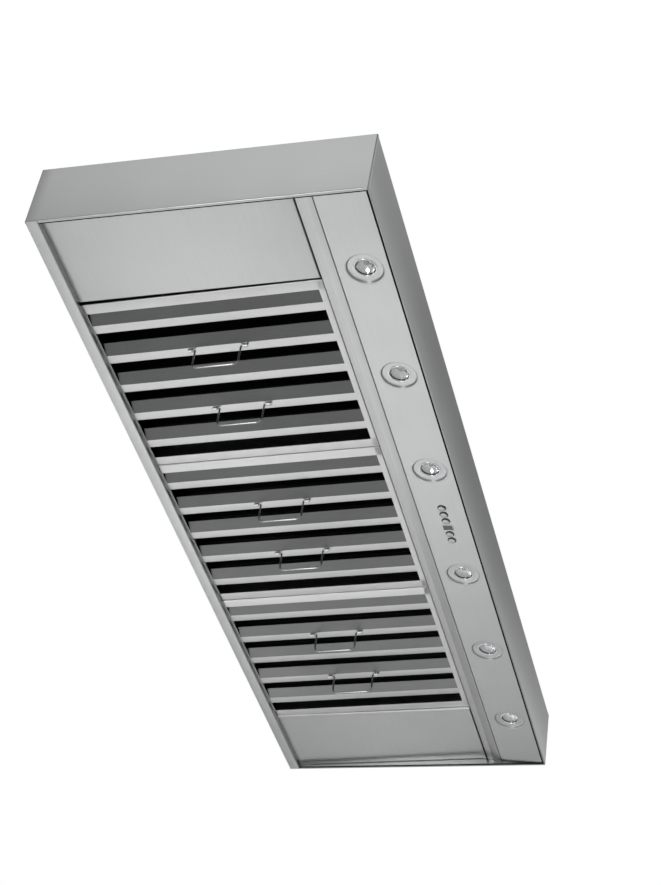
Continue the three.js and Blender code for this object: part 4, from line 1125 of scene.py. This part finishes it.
def area_light(name, place, target, size, power):
    """A soft rectangular light at a place, aimed at a point."""
    lamp = bpy.data.lights.new(name, "AREA")
    lamp.shape, lamp.size, lamp.size_y = "RECTANGLE", *size
    lamp.energy = power
    made = bpy.data.objects.new(name, lamp)
    back = np.array(place, float) - np.array(target, float)
    back /= np.linalg.norm(back)
    side = np.cross((0, 0, 1) if abs(back[2]) < 0.95 else (0, 1, 0), back)
    side /= np.linalg.norm(side)
    made.matrix_world = standing((side, np.cross(back, side), back), place)
    bpy.context.scene.collection.objects.link(made)


def toward(tree, way, direction, near, far, start, end):
    """A smooth step of the cosine between a direction and the viewing direction."""
    unit = np.array(direction) / np.linalg.norm(direction)
    cosine = add_node(tree, "ShaderNodeVectorMath", {"operation": "DOT_PRODUCT"}, {0: way})
    cosine.inputs[1].default_value = unit
    step = add_node(
        tree, "ShaderNodeMapRange", {"interpolation_type": "SMOOTHSTEP"}, {"Value": cosine.outputs["Value"]},
        **{"From_Min": near, "From_Max": far, "To_Min": start, "To_Max": end})
    return step.outputs[0]


def make_world():
    """White behind the object. For lighting, brightness = height * side * dusk * flag + box: height
    falls towards the zenith, side is brighter towards +X, dusk falls near the horizon, flag is a
    dark card high in front of the hood, and box is a large soft box up at its left."""
    world = bpy.data.worlds.new("studio")
    bpy.context.scene.world = world
    world.use_nodes = True
    tree = world.node_tree
    tree.nodes.clear()
    way = add_node(tree, "ShaderNodeTexCoord").outputs["Generated"]
    height = toward(tree, way, (0, 0, 1), 0.6, 1.0, 0.98, 0.15)
    side = toward(tree, way, (1, -0.3, 0), 0.1, 0.6, 0.4, 0.88)
    dusk = toward(tree, way, (0, 0, 1), 0.25, 0.45, 0.4, 1.0)
    flag = toward(tree, way, FLAG_WAY, 0.965, 1.0, 1.0, 0.12)
    box = toward(tree, way, BOX_WAY, 0.92, 0.995, 0.0, 0.72)
    shade = height
    for operation, factor in (("MULTIPLY", side), ("MULTIPLY", dusk), ("MULTIPLY", flag), ("ADD", box)):
        shade = add_node(
            tree, "ShaderNodeMath", {"operation": operation}, {0: shade, 1: factor}).outputs[0]
    soft = add_node(
        tree, "ShaderNodeBackground", links={"Strength": shade}, Color=linear("#ffffff"))
    plain = add_node(tree, "ShaderNodeBackground", Color=linear("#ffffff"), Strength=1.0)
    seen = add_node(tree, "ShaderNodeLightPath").outputs["Is Camera Ray"]
    mixed = add_node(
        tree, "ShaderNodeMixShader", links={0: seen, 1: soft.outputs[0], 2: plain.outputs[0]})
    add_node(tree, "ShaderNodeOutputWorld", links={"Surface": mixed.outputs[0]})


def make_camera():
    """The camera looks up at the underside from the left end, a little in front of the hood."""
    data = bpy.data.cameras.new("camera")
    data.lens, data.sensor_width, data.sensor_fit = CAMERA_LENS, 36, "AUTO"
    data.clip_end = 200
    camera = bpy.data.objects.new("camera", data)
    right, down, ahead = (np.array(axis) for axis in CAMERA_AXES)
    camera.matrix_world = standing((right, -down, -ahead), CAMERA_PLACE)
    bpy.context.scene.collection.objects.link(camera)
    bpy.context.scene.camera = camera


# Settings, operators and panel ------------------------------------------------------------------


def colour(name, text, code):
    """A colour setting whose default is a hex sRGB colour."""
    return bpy.props.FloatVectorProperty(
        name=name, description=text, subtype="COLOR", size=3, min=0, max=1, default=linear(code)[:3])


class RangeHoodSettings(bpy.types.PropertyGroup):
    """Finishes and small sizes that a user would change."""

    steel_dark: colour("Steel, dark", "Darkest tone of the brushed sheet", "#c0c1c1")
    steel_light: colour("Steel, light", "Lightest tone of the brushed sheet", "#cacbcb")
    filter_dark: colour("Filter, dark", "Darkest tone of the filter steel", "#cdcdcd")
    filter_light: colour("Filter, light", "Lightest tone of the filter steel", "#d8d8d8")
    satin: bpy.props.FloatProperty(
        name="Satin", description="Roughness of the brushed sheet", default=0.3, min=0.05, max=0.8,
        subtype="FACTOR")
    filter_width: bpy.props.FloatProperty(
        name="Filter width", description="Width of one baffle filter", unit="LENGTH",
        default=float(node_box("filter_1_frame")[1][0] - node_box("filter_1_frame")[0][0]) * MM)


class HoodStep(bpy.types.Operator):
    """Shared base of the hood's operators."""

    bl_options = {"REGISTER", "UNDO"}


class HOOD_OT_canopy(HoodStep):
    """Builds the canopy's wrap and its two end walls"""

    bl_idname = "hood.canopy"
    bl_label = "Canopy"

    def execute(self, context):
        piece("canopy_wrap", canopy_wrap(), "steel along the hood", "canopy", ["canopy_shell"])
        for side, name in ((-1, "left"), (1, "right")):
            piece(f"{name}_end_wall", end_wall(side), "steel across the hood", "canopy",
                  [f"{name}_end_panel"])
        return {"FINISHED"}


class HOOD_OT_light_panel(HoodStep):
    """Builds the light panel, its lamps, its push buttons and its display"""

    bl_idname = "hood.light_panel"
    bl_label = "Light panel"

    def execute(self, context):
        collars = joined(*[on_panel(button_collar(), x) for x in BUTTONS])
        # The black cords paint the shade of the gaps at the panel's edges.
        piece("lamp_and_control_panel", [light_panel(), shadow_gap_cords(), collars],
              ["steel along the hood", "black foam cord", "black ABS"], "canopy",
              ["light_panel"])
        for i, x in enumerate(LAMPS, 1):
            piece(f"lamp_trim_{i}", [on_panel(lamp_trim(), x), on_panel(lamp_bezel(), x)],
                  ["steel along the hood", "chrome plate"], "canopy",
                  [f"lamp_housing_{i}"])
            inner = [on_panel(part(), x) for part in (lamp_reflector, lamp_diode, lamp_holder)]
            piece(f"lamp_reflector_{i}", inner,
                  ["chrome plate", "white diode", "black ABS"], "canopy", [],
                  smooth=math.radians(3))
            piece(f"lamp_glass_{i}", on_panel(lamp_lens(), x), "lens glass", "canopy",
                  [f"lamp_lens_{i}"])
        for i, x in enumerate(BUTTONS, 1):
            piece(f"push_button_{i}", on_panel(button_cap(), x), "satin steel", f"button_{i}",
                  [f"button_{i}"])
        bars, window = display()
        piece("display", [on_panel(bars, DISPLAY_X), on_panel(window, DISPLAY_X)],
              ["satin steel", "smoked acrylic"], "canopy", ["display_window"])
        dress("switch_housing", "black ABS")
        return {"FINISHED"}


class HOOD_OT_trim(HoodStep):
    """Builds the rail behind the light panel and the two filler panels"""

    bl_idname = "hood.trim"
    bl_label = "Rail and fillers"

    def execute(self, context):
        piece("panel_rail", rail(), "steel along the hood", "canopy", ["filter_rail"])
        for side, name in ((-1, "left"), (1, "right")):
            piece(f"{name}_filler", filler(side), "steel along the hood", "canopy",
                  [f"{name}_filler_panel"])
        return {"FINISHED"}


class HOOD_OT_filters(HoodStep):
    """Builds the three baffle filters and their wire handles"""

    bl_idname = "hood.filters"
    bl_label = "Filters"

    def execute(self, context):
        width = context.scene.range_hood.filter_width / MM
        for i in (1, 2, 3):
            low, high = node_box(f"filter_{i}_frame")
            place = at(x=(low[0] + high[0]) / 2, y=PIVOT_Y, z=PIVOT_Z, tilt=-FILTER_SLOPE)
            body = f"filter_{i}"
            # The sloping wings take the darker filter steel, painted shade of the slots.
            piece(f"baffle_filter_{i}", [placed(filter_frame(width), place), placed(wings(width), place)],
                  ["filter steel", "filter steel mill finish"], body,
                  [f"filter_{i}_frame"])
            # The upper baffles are drawn near black, painted shade of the dark inside over the slots.
            piece(f"baffle_channels_{i}", placed(upper_baffles(width), place),
                  "blackened baffle steel", body, [f"filter_{i}_upper_baffles"])
            for k, (x, y) in zip("ab", handle_places()):
                grip = placed(bail(), place @ at(x=x, y=y, z=-PIVOT_DROP))
                piece(f"filter_handle_{i}_{k}", grip, "polished steel", f"handle_{i}_{k}",
                      [f"handle_{i}_{k}"])
        return {"FINISHED"}


class HOOD_OT_blowers(HoodStep):
    """Builds the wheels and collars, and finishes the other blower parts"""

    bl_idname = "hood.blowers"
    bl_label = "Blowers"

    def execute(self, context):
        for side in ("left", "right"):
            piece(f"wheel_{side}", impeller(f"impeller_{side}"), "galvanised steel", f"impeller_{side}",
                  [f"impeller_{side}"])
            piece(f"spigot_{side}", duct_collar(f"duct_collar_{side}"), "galvanised steel", "canopy",
                  [f"duct_collar_{side}"])
            dress(f"blower_housing_{side}", "galvanised steel")
            dress(f"blower_motor_{side}", "black powder coat")
            for k in "ab":
                dress(f"damper_flap_{side}_{k}", "galvanised steel")
        for box in ("blower_box", "control_box", "junction_box"):
            dress(box, "galvanised steel")
        return {"FINISHED"}


class HOOD_OT_covers(HoodStep):
    """Builds the duct covers and finishes the frames and the ceiling plate"""

    bl_idname = "hood.covers"
    bl_label = "Duct covers"

    def execute(self, context):
        for level, body in (("upper", "ceiling_mount"), ("lower", "canopy")):
            for half in ("front", "rear"):
                node = f"{level}_cover_{half}"
                piece(f"{level}_duct_cover_{half}", cover_half(node), "steel upright", body,
                      [node])
        for node in ("upper_frame", "lower_frame", "ceiling_plate"):
            dress(node, "galvanised steel")
        return {"FINISHED"}


class HOOD_OT_stage(HoodStep):
    """Sets out the floor, the lights, the world and the camera"""

    bl_idname = "hood.stage"
    bl_label = "Stage"

    def execute(self, context):
        make_floor()
        make_world()
        for light in LIGHTS:
            area_light(*light)
        make_camera()
        context.scene.view_settings.view_transform = "Standard"
        return {"FINISHED"}


STEPS = (
    HOOD_OT_canopy,
    HOOD_OT_light_panel,
    HOOD_OT_trim,
    HOOD_OT_filters,
    HOOD_OT_blowers,
    HOOD_OT_covers,
    HOOD_OT_stage,
)


class HOOD_PT_sidebar(bpy.types.Panel):
    """Lists the hood's settings and the steps that build it"""

    bl_label = "Range Hood"
    bl_idname = "HOOD_PT_sidebar"
    bl_space_type = "VIEW_3D"
    bl_region_type = "UI"
    bl_category = "Range Hood"

    def draw(self, context):
        settings = context.scene.range_hood
        for name in ("steel_dark", "steel_light", "filter_dark", "filter_light", "satin", "filter_width"):
            self.layout.prop(settings, name)
        for step in STEPS:
            self.layout.operator(step.bl_idname)


CLASSES = (RangeHoodSettings, *STEPS, HOOD_PT_sidebar)


def register():
    for one in CLASSES:
        bpy.utils.register_class(one)
    bpy.types.Scene.range_hood = bpy.props.PointerProperty(type=RangeHoodSettings)


def unregister():
    del bpy.types.Scene.range_hood
    for one in reversed(CLASSES):
        bpy.utils.unregister_class(one)


def main():
    """Builds every piece in order."""
    register()
    bpy.ops.hood.canopy()
    bpy.ops.hood.light_panel()
    bpy.ops.hood.trim()
    bpy.ops.hood.filters()
    bpy.ops.hood.blowers()
    bpy.ops.hood.covers()
    bpy.ops.hood.stage()


if __name__ == "__main__":
    main()
